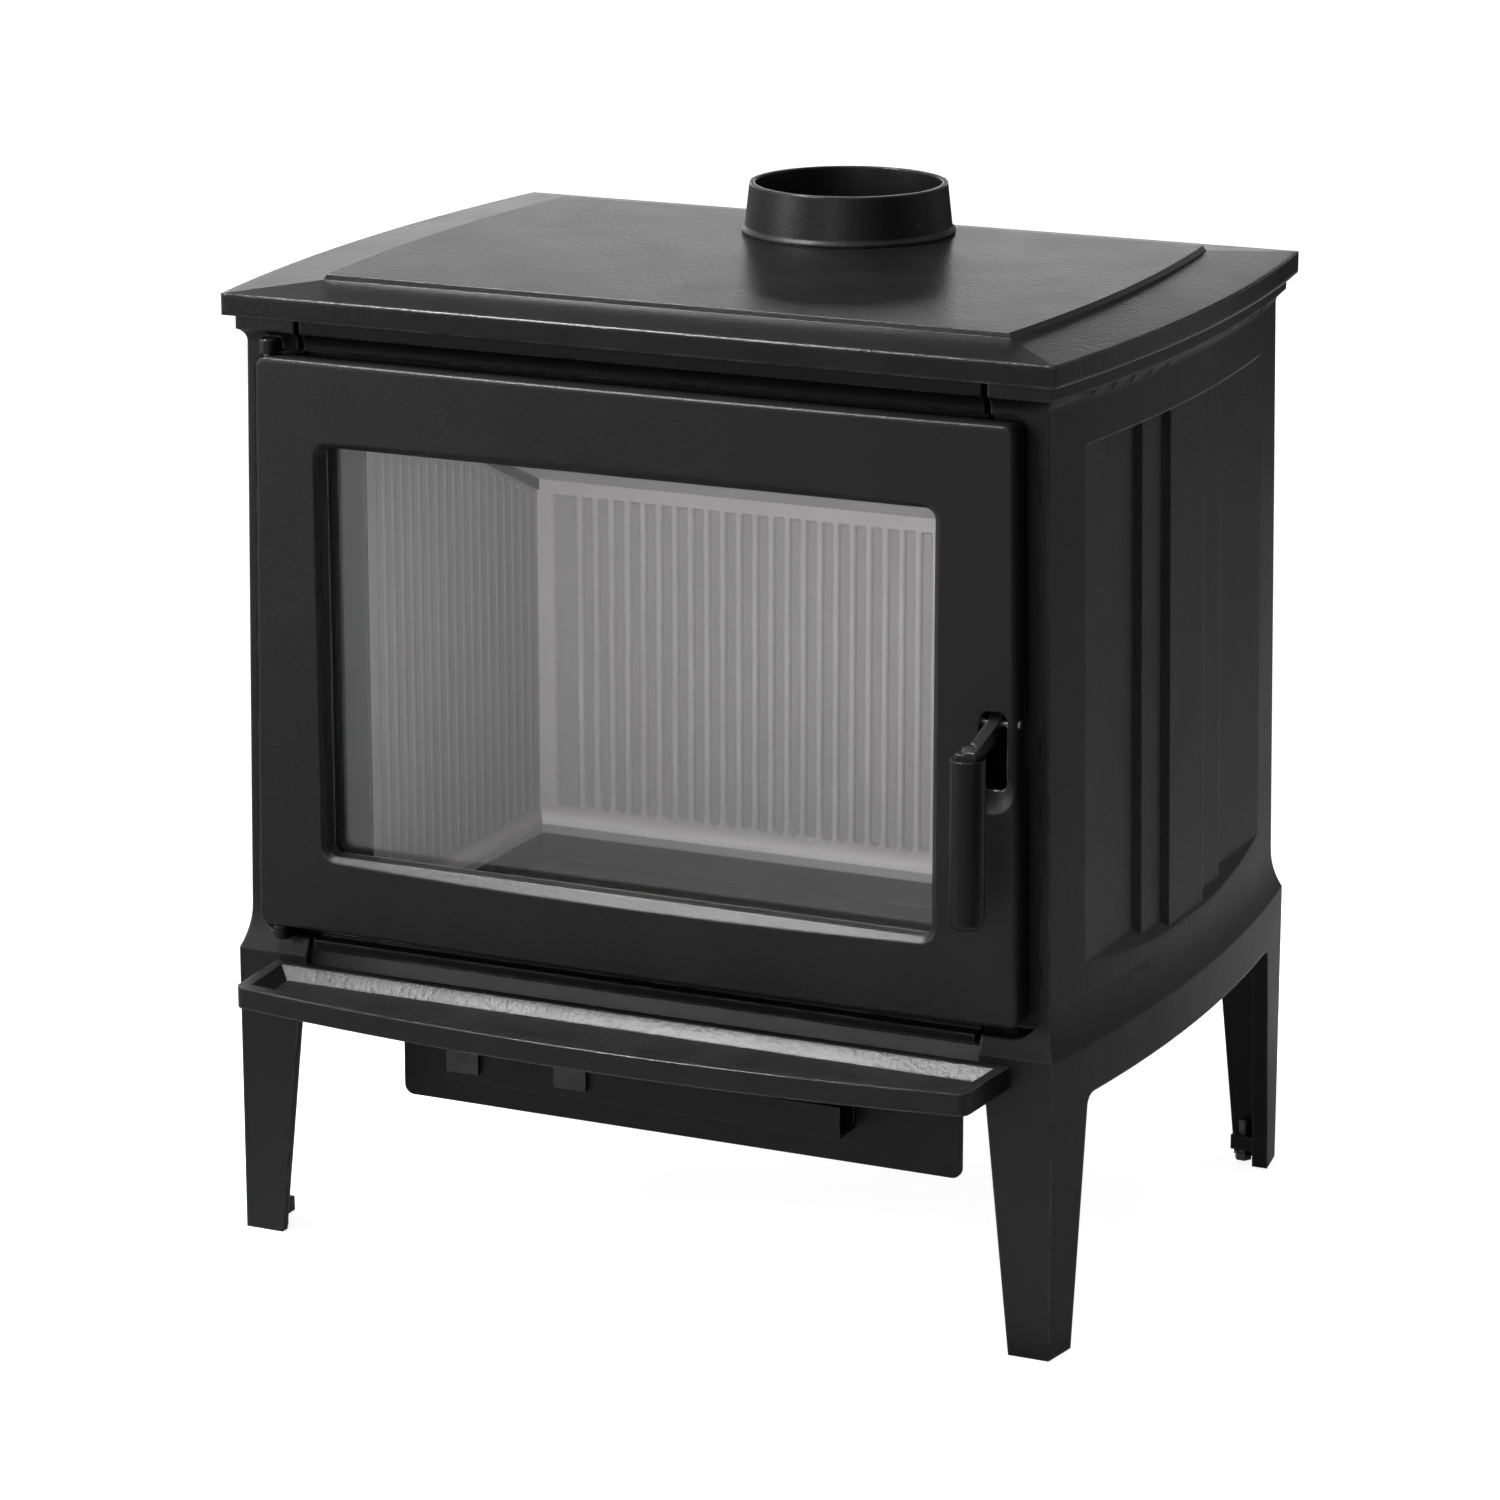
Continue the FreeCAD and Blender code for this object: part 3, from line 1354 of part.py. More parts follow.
def door_frame():
    """The cast door: bowed face, bevelled window, glass seat, rope groove and handle slot."""
    half = door_half_width
    bow = (half * half + mm.door_bow * mm.door_bow) / (2 * mm.door_bow)
    plan = [
        (-half, door_face, bow, -1),
        (half, door_face),
        (half, door_back),
        (-half, door_back),
    ]
    outline = [
        (-half, door_bottom),
        (half, door_bottom),
        (door_top_half, door_top),
        (-door_top_half, door_top),
    ]
    bowed = prism("door_plan", "XY", plan, door_bottom, door_top)
    shape = prism("door_shape", "XZ", outline, door_face - 2 * mm.door_bow, door_back,
                  mm.door_corner_radius, outline)
    blank = common("door_blank", bowed, shape)
    doc.recompute()
    eased = ease_front(blank)
    face_y = door_face - 2 * mm.door_bow
    rim_y = door_face - mm.door_bow / 2
    land_y = rim_y + mm.window_bevel
    flare = mm.window_bevel * (land_y - face_y) / (land_y - rim_y)
    radius = mm.window_radius - mm.window_bevel / 2
    window = rounded_rectangle((window_left, window_right), (window_bottom, window_top), radius)
    opening = prism("window", "XZ", window, face_y, door_back + mm.overrun)
    wide = rounded_rectangle((window_left - flare, window_right + flare),
                             (window_bottom - flare, window_top + flare), radius + flare)
    flared = loft("window_bevel", [("XZ", -face_y, wide), ("XZ", -land_y, window)])
    seat_half = glass_half + mm.glass_clearance
    seat_y = door_back - mm.glass_thickness - mm.gasket_thickness
    lap = mm.glass_lap + mm.glass_clearance
    seat = box("glass_seat", (-seat_half, seat_half), (seat_y, door_back + mm.overrun),
               (window_bottom - lap, window_top + lap))
    groove = rope_ring("rope_groove", 0, door_back - mm.rope_groove_depth, door_back + mm.overrun)
    slot_half = mm.slot_width / 2
    slot_outline = rectangle((slot_x - slot_half, slot_x + slot_half), (slot_bottom, slot_top))
    slot = prism("handle_slot", "XZ", slot_outline, face_y, door_back + mm.overrun, slot_half * 3 / 4,
                 slot_outline)
    scoop = doc.addObject("Part::Sphere", fresh("scoop"))
    bind(scoop, "Radius", mm.scoop_radius)
    place(scoop, slot_x, door_face - mm.scoop_radius + mm.scoop_depth, slot_bottom)
    pivot = rod("pivot_bore", mm.pivot_radius, far_side - slot_x + mm.slot_width, slot_x - mm.pivot_inset,
                pivot_y, pivot_z, "+x")
    reach = mm.hinge_pin_reach + mm.overrun
    bore = mm.hinge_pin_radius + mm.running_clearance
    hinge_bores = [
        rod("door_bore", bore, reach, hinge_x, hinge_y, door_bottom - mm.overrun + mm.hinge_lug_gap),
        rod("door_bore", bore, reach, hinge_x, hinge_y, door_top - mm.hinge_pin_reach - mm.hinge_lug_gap),
    ]
    screw_holes = [
        rod("clip_hole", mm.clip_screw_radius + mm.thread_clearance, mm.clip_screw_depth, x, door_back, z,
            "-y")
        for x, z, way in clip_places()
    ]
    glazed = cut("door_glazed", cut("door_opened", eased, flared), opening, seat)
    slotted = cut("door_slotted", cut("door_scooped", glazed, scoop), slot)
    keep("door_frame", cut("door_frame", slotted, groove, pivot, *hinge_bores, *screw_holes))


def ease_front(blank):
    """Rounds the long edges round the front of the door."""
    fillet = doc.addObject("Part::Fillet", fresh("door_eased"))
    fillet.Base = blank
    limit = door_face.value
    radius = mm.door_edge_radius.value
    chosen = []
    for number, edge in enumerate(blank.Shape.Edges, start=1):
        box_of_edge = edge.BoundBox
        if box_of_edge.YMax < limit + 1e-3 + mm.door_bow.value / 3 and edge.Length > radius:
            chosen.append((number, radius, radius))
    fillet.Edges = chosen
    return fillet


def rope_ring(name, clearance, low, high):
    """A square ring that follows the rope seal round the window, less a clearance on its sides."""
    wide = mm.rope_width - clearance
    outer = box(name + "_outer", (-(rope_inner_half + wide), rope_inner_half + wide), (low, high),
                (rope_inner_bottom - wide, rope_inner_top + wide))
    inner = box(name + "_inner", (-(rope_inner_half + clearance), rope_inner_half + clearance),
                (low - mm.overrun, high + mm.overrun),
                (rope_inner_bottom - clearance, rope_inner_top + clearance))
    return cut(name, outer, inner)


def clip_places():
    """Where the glass clips are screwed to the door, with the way in which each points."""
    band_x = glass_half + mm.glass_clearance + mm.rope_band / 2
    top_z = window_top + mm.glass_lap + mm.glass_clearance + mm.rope_band / 2
    bottom_z = window_bottom - mm.glass_lap - mm.glass_clearance - mm.rope_band / 2
    middle_z = (window_top + window_bottom) / 2
    places = []
    for side in (-1, 1):
        places.append((side * mm.clip_place, top_z, "down"))
        places.append((side * mm.clip_place, bottom_z, "up"))
        places.append((side * band_x, middle_z, "left" if side > 0 else "right"))
    return places


def door_fittings():
    lap_bottom = window_bottom - mm.glass_lap
    lap_top = window_top + mm.glass_lap
    glass_front = door_back - mm.glass_thickness
    keep("door_glass", box("glass", (-glass_half, glass_half), (glass_front, door_back),
                           (lap_bottom, lap_top)))
    pad = box("gasket_outer", (-glass_half, glass_half), (glass_front - mm.gasket_thickness, glass_front),
              (lap_bottom, lap_top))
    hole = box("gasket_inner", (window_left, -window_left), (door_face, door_back),
               (window_bottom, window_top))
    keep("glass_gasket", cut("gasket", pad, hole))
    rope_back = rebate_floor - mm.rope_clearance
    rope_front = door_back - mm.rope_groove_depth
    keep("door_rope_seal", rope_ring("rope", mm.thread_clearance, rope_front, rope_back))
    clips = []
    screws = []
    half = mm.clip_length / 2
    outer = mm.rope_band / 2 - mm.clip_margin
    inner = mm.rope_band / 2 + mm.glass_clearance + mm.clip_overlap
    for x, z, way in clip_places():
        xs, zs = (x - half, x + half), (z - half, z + half)
        if way == "down":
            zs = (z - inner, z + outer)
        elif way == "up":
            zs = (z - outer, z + inner)
        elif way == "left":
            xs = (x - inner, x + outer)
        else:
            xs = (x - outer, x + inner)
        plate = box("clip", xs, (door_back, door_back + mm.clip_thickness), zs)
        hole = rod("clip_plate_hole", mm.clip_screw_radius + mm.thread_clearance,
                   mm.clip_thickness + 2 * mm.overrun, x, door_back - mm.overrun, z, "+y")
        clips.append(cut("glass_clip", plate, hole))
        screws.append(bolt("clip_screw", mm.clip_screw_radius,
                           mm.clip_thickness + mm.clip_screw_depth - mm.thread_clearance,
                           mm.clip_head_radius, mm.clip_head_height, x, door_back + mm.clip_thickness,
                           z, "+y"))
    keep("glass_clips", group("glass_clips", clips))
    keep("glass_clip_screws", group("glass_clip_screws", screws))
    edge_x = door_half_width - mm.door_taper * (pivot_z - door_bottom) / mm.door_height
    start = slot_x - mm.pivot_inset
    keep("handle_pivot_pin", rod("pivot_pin", mm.pivot_radius, edge_x + mm.pivot_end - start, start,
                                 pivot_y, pivot_z, "+x"))


def handle():
    """The hanging grip, the flat arm that turns on the pivot pin, and its hook behind the door."""
    half = mm.arm_thickness / 2
    arm_low, arm_high = slot_x - half, slot_x + half
    wide = mm.arm_width
    foot_top = grip_top + wide / 2
    limb = [
        (grip_y - mm.arm_foot / 2, grip_top),
        (grip_y + mm.arm_foot / 2, grip_top),
        (pivot_y, pivot_z - wide / 2),
        (pivot_y, pivot_z + wide / 2),
        (grip_y - mm.arm_foot / 2, foot_top),
    ]
    arm = prism("arm_limb", "YZ", limb, arm_low, arm_high)
    foot = box("arm_foot", (grip_x - mm.arm_foot / 2, arm_high),
               (grip_y - mm.arm_foot / 2, grip_y + mm.arm_foot / 2), (grip_top, grip_top + half))
    boss = rod("arm_boss", mm.arm_boss_radius, mm.arm_thickness, arm_low, pivot_y, pivot_z, "+x")
    hook = box("arm_hook", (arm_low, arm_high), (pivot_y, pivot_y + mm.hook_reach),
               (pivot_z - mm.hook_half_height, pivot_z + mm.hook_half_height))
    bore = rod("arm_bore", mm.pivot_radius + mm.running_clearance, mm.arm_thickness + 2 * mm.overrun,
               arm_low - mm.overrun, pivot_y, pivot_z, "+x")
    screw_hole = rod("arm_screw_hole", mm.grip_screw_radius + mm.thread_clearance,
                     mm.arm_width + 2 * mm.overrun, grip_x, grip_y, grip_top - mm.overrun)
    head_room = rod("arm_head_room", mm.grip_head_radius + mm.thread_clearance, mm.arm_width, grip_x, grip_y,
                    grip_top + half)
    keep("handle_arm", cut("handle_arm", fuse("arm", arm, foot, boss, hook), bore, screw_hole, head_room))
    grip = rod("grip", mm.grip_radius, mm.grip_length, grip_x, grip_y, grip_top - mm.grip_length)
    screw_bore = rod("grip_bore", mm.grip_screw_radius + mm.thread_clearance,
                     mm.grip_screw_depth + mm.overrun, grip_x, grip_y, grip_top - mm.grip_screw_depth)
    doc.recompute()
    rounded = doc.addObject("Part::Fillet", fresh("grip_rounded"))
    rounded.Base = grip
    low = grip_top.value - mm.grip_length.value
    radius = mm.grip_end_radius.value
    rounded.Edges = [
        (number, radius, radius)
        for number, edge in enumerate(grip.Shape.Edges, start=1)
        if edge.BoundBox.ZMax < low + radius / 2
    ]
    keep("handle_grip", cut("handle_grip", rounded, screw_bore))
    keep("grip_screw", bolt("grip_screw", mm.grip_screw_radius,
                            half + mm.grip_screw_depth - mm.thread_clearance, mm.grip_head_radius,
                            mm.grip_head_height, grip_x, grip_y, grip_top + half, "+z"))


keeper_top = pivot_z + mm.latch_notch_above
keeper_right = flange_inner + mm.latch_notch_width


def keeper_screw_places():
    x = keeper_right + mm.keeper_tail / 2
    return ((x, pivot_z - mm.keeper_height / 2), (x, pivot_z + mm.keeper_height / 2))


def keeper_holes():
    return [
        rod("keeper_hole", mm.keeper_screw_radius + mm.thread_clearance, mm.keeper_screw_depth, x,
            flange_back, z, "-y")
        for x, z in keeper_screw_places()
    ]


def latch_keeper():
    """A plate behind the right flange with an eye for the roller that the hook passes under."""
    thick = mm.keeper_thickness
    roller_z = pivot_z + mm.hook_half_height + mm.keeper_gap + mm.keeper_roller_radius
    roller_y = pivot_y + mm.hook_reach - mm.keeper_roller_radius
    plate = box("keeper_plate", (keeper_right - thick, keeper_right + mm.keeper_tail),
                (flange_back, flange_back + thick),
                (pivot_z - mm.keeper_height, pivot_z + mm.keeper_height))
    ear = box("keeper_ear", (keeper_right - thick, keeper_right),
              (roller_y - mm.keeper_roller_radius * 2, flange_back + thick),
              (roller_z - mm.keeper_roller_radius * 2, roller_z + mm.keeper_roller_radius * 2))
    axle = mm.keeper_roller_radius / 2
    bore = rod("keeper_bore", axle + mm.thread_clearance, thick + 2 * mm.overrun,
               keeper_right - thick - mm.overrun, roller_y, roller_z, "+x")
    screws = []
    holes = []
    for x, z in keeper_screw_places():
        holes.append(rod("keeper_plate_hole", mm.keeper_screw_radius + mm.thread_clearance,
                         thick + 2 * mm.overrun, x, flange_back - mm.overrun, z, "+y"))
        screws.append(bolt("keeper_screw", mm.keeper_screw_radius,
                           thick + mm.keeper_screw_depth - mm.thread_clearance, mm.clip_head_radius,
                           mm.clip_head_height, x, flange_back + thick, z, "+y"))
    keep("latch_keeper", cut("latch_keeper", fuse("keeper", plate, ear), bore, *holes))
    roller_left = slot_x - mm.arm_thickness / 2
    wheel = rod("roller_wheel", mm.keeper_roller_radius, keeper_right - thick - roller_left, roller_left,
                roller_y, roller_z, "+x")
    stub = rod("roller_stub", axle, keeper_right - roller_left, roller_left, roller_y, roller_z, "+x")
    keep("keeper_roller", fuse("keeper_roller", wheel, stub))
    keep("keeper_screws", group("keeper_screws", screws))


def levelling_feet():
    for side, side_word in ((-1, "left"), (1, "right")):
        for y, end_word in zip(foot_places(), ("front", "rear")):
            x = side * (leg_half_width - mm.foot_inset)
            screw = rod("foot_screw", mm.foot_screw_radius, mm.foot_screw_length, x, y, 0)
            pad = doc.addObject("Part::Prism", fresh("foot_pad"))
            pad.Polygon = 6
            bind(pad, "Circumradius", mm.foot_pad_radius)
            bind(pad, "Height", mm.foot_pad_height)
            place(pad, x, y, 0)
            keep(f"levelling_foot_{end_word}_{side_word}", fuse("levelling_foot", screw, pad))


side_castings()
hinge_pins()
front_frame()
back_plate()
top_plate()
ash_shelf()
hearth()
bricks()
deflector()
air_box()
air_rail()
door_frame()
door_fittings()
handle()
latch_keeper()
levelling_feet()
doc.recompute()

for obj in doc.Objects:
    if "Invalid" in obj.State or "Error" in obj.State:
        raise RuntimeError(f"{obj.Label} failed: {obj.State}")
for node, obj in pieces.items():
    if obj.Shape.isNull() or not obj.Shape.isValid() or not obj.Shape.Solids:
        raise RuntimeError(f"{node} has no valid solid")

os.makedirs("parts", exist_ok=True)
for node, obj in pieces.items():
    obj.Shape.exportStep(f"parts/{node}.step")
    solids = obj.Shape.Solids
    print(f"{node}: {len(solids)} solids, {sum(s.Volume for s in solids) / 1000:.1f} cm3")
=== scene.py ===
import math

import bmesh
import bpy
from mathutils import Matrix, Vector


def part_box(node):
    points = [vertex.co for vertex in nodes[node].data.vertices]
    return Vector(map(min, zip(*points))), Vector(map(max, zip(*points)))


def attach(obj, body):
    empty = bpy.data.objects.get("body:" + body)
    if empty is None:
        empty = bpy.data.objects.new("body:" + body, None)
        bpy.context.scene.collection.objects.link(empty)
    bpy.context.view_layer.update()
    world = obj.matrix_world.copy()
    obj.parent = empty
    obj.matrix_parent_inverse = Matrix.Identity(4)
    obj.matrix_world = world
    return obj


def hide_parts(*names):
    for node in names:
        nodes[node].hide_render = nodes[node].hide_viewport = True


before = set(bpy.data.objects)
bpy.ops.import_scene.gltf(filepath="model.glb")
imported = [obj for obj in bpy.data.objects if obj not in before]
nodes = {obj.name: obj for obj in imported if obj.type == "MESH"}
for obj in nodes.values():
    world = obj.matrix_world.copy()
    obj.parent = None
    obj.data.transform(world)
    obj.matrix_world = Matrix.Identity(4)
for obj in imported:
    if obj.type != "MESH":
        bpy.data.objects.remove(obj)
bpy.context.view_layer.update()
scene = bpy.context.scene
scene.view_settings.view_transform = "Standard"
print("stove: solids loaded,", len(nodes), "nodes")

shot = {
    "place": (1.7066, -3.6644, 1.487),  # where the photographer stood
    "aim": (0.012, -0.02, 0.388),
    "lens": 128,
    "sensor": 36,
}


def setCamera():
    eye = bpy.data.objects.new("shotCamera", bpy.data.cameras.new("shotCamera"))
    scene.collection.objects.link(eye)
    eye.location = shot["place"]
    eye.rotation_euler = (Vector(shot["aim"]) - eye.location).to_track_quat("-Z", "Y").to_euler()
    eye.data.lens = shot["lens"]
    eye.data.sensor_width = shot["sensor"]
    scene.camera = eye


setCamera()
print("stove: camera set")


def put(tree, kind, wires=None, **settings):
    node = tree.nodes.new(kind)
    for name, value in settings.items():
        setattr(node, name, value)
    for key, value in (wires or {}).items():
        if isinstance(value, bpy.types.NodeSocket):
            tree.links.new(value, node.inputs[key])
        else:
            node.inputs[key].default_value = value
    return node


def calc(tree, operation, *values, clamp=False):
    node = put(tree, "ShaderNodeMath", dict(enumerate(values)), operation=operation, use_clamp=clamp)
    return node.outputs[0]


def mixColor(tree, factor, first, second):
    return put(tree, "ShaderNodeMix", {0: factor, 6: first, 7: second}, data_type="RGBA").outputs[2]


def spread(tree, value, low, high, toLow, toHigh, ease="LINEAR"):
    wires = {0: value, 1: low, 2: high, 3: toLow, 4: toHigh}
    return put(tree, "ShaderNodeMapRange", wires, interpolation_type=ease).outputs[0]


def vectorCalc(tree, operation, first, second):
    return put(tree, "ShaderNodeVectorMath", {0: first, 1: second}, operation=operation).outputs


def newGroup(name, kind, inputs, outputs):  # an input comes with its default number, or else with its kind
    tree = bpy.data.node_groups.new(name, kind)
    for label, value in inputs.items():
        number = {float: "Float", int: "Int"}.get(type(value))
        socketKind = "NodeSocket" + (number or value)
        socket = tree.interface.new_socket(name=label, in_out="INPUT", socket_type=socketKind)
        if number:
            socket.default_value = value
    for label, value in outputs.items():
        tree.interface.new_socket(name=label, in_out="OUTPUT", socket_type="NodeSocket" + value)
    source = tree.nodes.new("NodeGroupInput").outputs
    drain = tree.nodes.new("NodeGroupOutput").inputs
    return tree, source, drain


sandGrain = {
    "sand": {"Detail": 2.5, "Roughness": 0.6},
    "cloud": {"Detail": 5.0, "Roughness": 0.62},
    "pitScale": 0.7,
    "pitReach": 0.5,
    "pitShare": 0.35,
    "mottle": (0.3, 0.7),
    "fleck": (0.56, 0.72),
}


def castGrainGroup():  # sand grain of the mould, with the slow mottling of stove paint
    tree, source, drain = newGroup(
        "castGrain",
        "ShaderNodeTree",
        {"Grain size": 0.0011, "Mottle size": 0.05},
        {"Height": "Float", "Mottle": "Float", "Fleck": "Float"},
    )
    spot = put(tree, "ShaderNodeTexCoord").outputs["Object"]
    fine = calc(tree, "DIVIDE", 1.0, source["Grain size"])
    slow = calc(tree, "DIVIDE", 1.0, source["Mottle size"])
    sand = put(tree, "ShaderNodeTexNoise", {"Vector": spot, "Scale": fine, **sandGrain["sand"]})
    sparse = calc(tree, "MULTIPLY", fine, sandGrain["pitScale"])
    pits = put(tree, "ShaderNodeTexVoronoi", {"Vector": spot, "Scale": sparse})
    hollow = spread(tree, pits.outputs["Distance"], 0.0, sandGrain["pitReach"], 0.0, 1.0)
    pitted = calc(tree, "MULTIPLY", hollow, sandGrain["pitShare"])
    cloud = put(tree, "ShaderNodeTexNoise", {"Vector": spot, "Scale": slow, **sandGrain["cloud"]})
    tree.links.new(calc(tree, "ADD", sand.outputs["Fac"], pitted), drain["Height"])
    tree.links.new(spread(tree, cloud.outputs["Fac"], *sandGrain["mottle"], 0.0, 1.0), drain["Mottle"])
    tree.links.new(spread(tree, sand.outputs["Fac"], *sandGrain["fleck"], 0.0, 1.0), drain["Fleck"])
    return tree


edgeWearAndHighlight = {
    "samples": 10,
    "cloud": {"Detail": 4.0},
    "lean": (0.995, 0.8),  # how far the rounded normal leans where the paler edge starts and where it is full
    "patch": (0.35, 0.65),
    "least": 0.15,
}


def edgeRoundAndPaleGroup():  # rounds the edges for the light and marks the edges that are painted paler: rubbed paint, and on the painted iron a painted highlight as well
    tree, source, drain = newGroup(
        "edgeRoundAndPale",
        "ShaderNodeTree",
        {"Edge radius": 0.0015, "Patchiness": 0.02},
        {"Normal": "Vector", "Edge": "Float", "Mask": "Float"},
    )
    rounded = put(tree, "ShaderNodeBevel", {"Radius": source["Edge radius"]}, samples=edgeWearAndHighlight["samples"])
    flat = put(tree, "ShaderNodeNewGeometry").outputs["Normal"]
    lean = vectorCalc(tree, "DOT_PRODUCT", rounded.outputs[0], flat)["Value"]
    edge = spread(tree, lean, *edgeWearAndHighlight["lean"], 0.0, 1.0)
    spot = put(tree, "ShaderNodeTexCoord").outputs["Object"]
    size = calc(tree, "DIVIDE", 1.0, source["Patchiness"])
    patch = put(tree, "ShaderNodeTexNoise", {"Vector": spot, "Scale": size, **edgeWearAndHighlight["cloud"]})
    wearAndHighlight = spread(tree, patch.outputs["Fac"], *edgeWearAndHighlight["patch"], edgeWearAndHighlight["least"], 1.0)
    tree.links.new(rounded.outputs[0], drain["Normal"])
    tree.links.new(edge, drain["Edge"])
    tree.links.new(calc(tree, "MULTIPLY", edge, wearAndHighlight, clamp=True), drain["Mask"])
    return tree


dustFall = {
    "cloud": {"Detail": 6.0, "Roughness": 0.7},
    "rise": (0.7, 0.98),  # how far up a face looks where dust starts to lie and where it lies in full
    "patch": (0.35, 0.75),
    "least": 0.2,
}


def settledDustGroup():  # thin dust where a face looks up
    tree, source, drain = newGroup(
        "settledDust",
        "ShaderNodeTree",
        {"Amount": 0.3, "Patchiness": 0.06},
        {"Mask": "Float"},
    )
    facing = put(tree, "ShaderNodeNewGeometry").outputs["Normal"]
    rise = put(tree, "ShaderNodeSeparateXYZ", {0: facing}).outputs["Z"]
    spot = put(tree, "ShaderNodeTexCoord").outputs["Object"]
    size = calc(tree, "DIVIDE", 1.0, source["Patchiness"])
    cloud = put(tree, "ShaderNodeTexNoise", {"Vector": spot, "Scale": size, **dustFall["cloud"]})
    level = spread(tree, rise, *dustFall["rise"], 0.0, 1.0)
    patch = spread(tree, cloud.outputs["Fac"], *dustFall["patch"], dustFall["least"], 1.0)
    veil = calc(tree, "MULTIPLY", level, patch)
    tree.links.new(calc(tree, "MULTIPLY", veil, source["Amount"], clamp=True), drain["Mask"])
    return tree


castGrain = castGrainGroup()
edgeRoundAndPale = edgeRoundAndPaleGroup()
settledDust = settledDustGroup()


def newMaterial(name):
    material = bpy.data.materials.new(name)
    material.use_nodes = True
    shader = material.node_tree.nodes["Principled BSDF"]
    return material, material.node_tree, shader


def groupIn(tree, group, **values):
    node = put(tree, "ShaderNodeGroup", node_tree=group)
    for label, value in values.items():
        node.inputs[label.replace("_", " ")].default_value = value
    return node


def grey(value, warm=0.0):
    return (value * (1 + warm), value, value * (1 - warm), 1)


def heightStep(tree, height, below, above):  # one value under a height and another over it
    fade = 0.0008
    spot = put(tree, "ShaderNodeTexCoord").outputs["Object"]
    level = put(tree, "ShaderNodeSeparateXYZ", {0: spot}).outputs["Z"]
    return spread(tree, level, height - fade, height + fade, below, above)


def roughen(tree, shader, grain, strength, deep, edgePaling=None):  # lays the grain over the rounded edges
    wires = {"Strength": strength, "Distance": deep, "Height": grain.outputs["Height"]}
    if edgePaling:
        wires["Normal"] = edgePaling.outputs["Normal"]
    tree.links.new(put(tree, "ShaderNodeBump", wires).outputs[0], shader.inputs["Normal"])


ironPaint = {
    "paleEdgePatch": 0.02,
    "dustPatch": 0.05,
    # the pale grey of the edges is rubbed paint and also a painted highlight
    "wearAndHighlight": grey(0.16),
    "dust": grey(0.2, 0.03),
    "paleShare": 0.9,
    "glossSwing": 0.02,
    "edgePolish": 0.24,  # how much smoother a handled edge is
    "grainDeep": 0.0004,
}


def paintedIron(name, finish):
    material, tree, shader = newMaterial(name)
    grain = groupIn(tree, castGrain, Grain_size=finish["grain"], Mottle_size=finish["mottle"])
    edgePaling = groupIn(tree, edgeRoundAndPale, Edge_radius=finish["edge"], Patchiness=ironPaint["paleEdgePatch"])
    if "rimEdge" in finish:  # the rim is rounder than the panel above it
        above, radius = finish["rimEdge"]
        tree.links.new(heightStep(tree, above, radius, finish["edge"]), edgePaling.inputs["Edge radius"])
    dust = groupIn(tree, settledDust, Amount=finish["dust"], Patchiness=ironPaint["dustPatch"])
    paint = mixColor(tree, grain.outputs["Mottle"], grey(finish["dark"]), grey(finish["light"]))
    # paler edges: partly rubbed paint, partly a painted highlight
    paleEdgeShare = calc(tree, "MULTIPLY", edgePaling.outputs["Mask"], finish["edgePaling"])
    paleEdged = mixColor(tree, paleEdgeShare, paint, ironPaint["wearAndHighlight"])
    color = mixColor(tree, dust.outputs["Mask"], paleEdged, ironPaint["dust"])
    if "rim" in finish:  # paler above this height
        height, pale = finish["rim"]
        color = mixColor(tree, heightStep(tree, height, 0.0, ironPaint["paleShare"]), color, pale)
    tree.links.new(color, shader.inputs["Base Color"])
    gloss, swing = finish["gloss"], ironPaint["glossSwing"]
    sheen = spread(tree, grain.outputs["Mottle"], 0.0, 1.0, gloss - swing, gloss + swing)
    smoother = calc(tree, "MULTIPLY", edgePaling.outputs["Edge"], ironPaint["edgePolish"])
    tree.links.new(calc(tree, "SUBTRACT", sheen, smoother), shader.inputs["Roughness"])
    shader.inputs["Specular IOR Level"].default_value = finish["specular"]
    roughen(tree, shader, grain, finish["bump"], ironPaint["grainDeep"], edgePaling)
    return material


sideFinish = {
    "dark": 0.003,
    "light": 0.004,
    "gloss": 0.43,
    "specular": 0.16,
    "grain": 0.0028,
    "mottle": 0.06,
    "bump": 0.5,
    "edge": 0.003,
    # how much paler the edges are painted: rubbed paint and a painted highlight
    "edgePaling": 0.3,
    "dust": 0.02,
}
doorFinish = dict(sideFinish, bump=0.42, edge=0.0026)
topFinish = dict(sideFinish, dark=0.0026, light=0.0042, gloss=0.33, specular=0.15, grain=0.0048,
                 bump=0.7, dust=0.004, edge=0.0008, rimEdge=(0.757, 0.0045))
frameFinish = dict(sideFinish, dark=0.002, light=0.003, specular=0.1)
# painted light: the back plate is the same paint made paler so that it does not sink into shade
paintedLightBackFinish = dict(sideFinish, dark=0.009, light=0.013, specular=0.3, gloss=0.48)
shelfFinish = dict(sideFinish, grain=0.0042, bump=0.8, gloss=0.38, dust=0.04, edge=0.0025)
innerFinish = dict(sideFinish, dark=0.05, light=0.062, gloss=0.6, specular=0.15, bump=0.12, edgePaling=0.2)
hearthFinish = dict(innerFinish, dark=0.04, light=0.05, dust=0.1, rim=(0.2385, grey(0.44, 0.005)))
sheetFinish = dict(sideFinish, dark=0.002, light=0.0028, grain=0.0008, bump=0.12, gloss=0.42,
                   specular=0.12, edge=0.0012)
gripFinish = dict(sheetFinish, grain=0.0009, bump=0.1, gloss=0.34, specular=0.13, edge=0.0018)

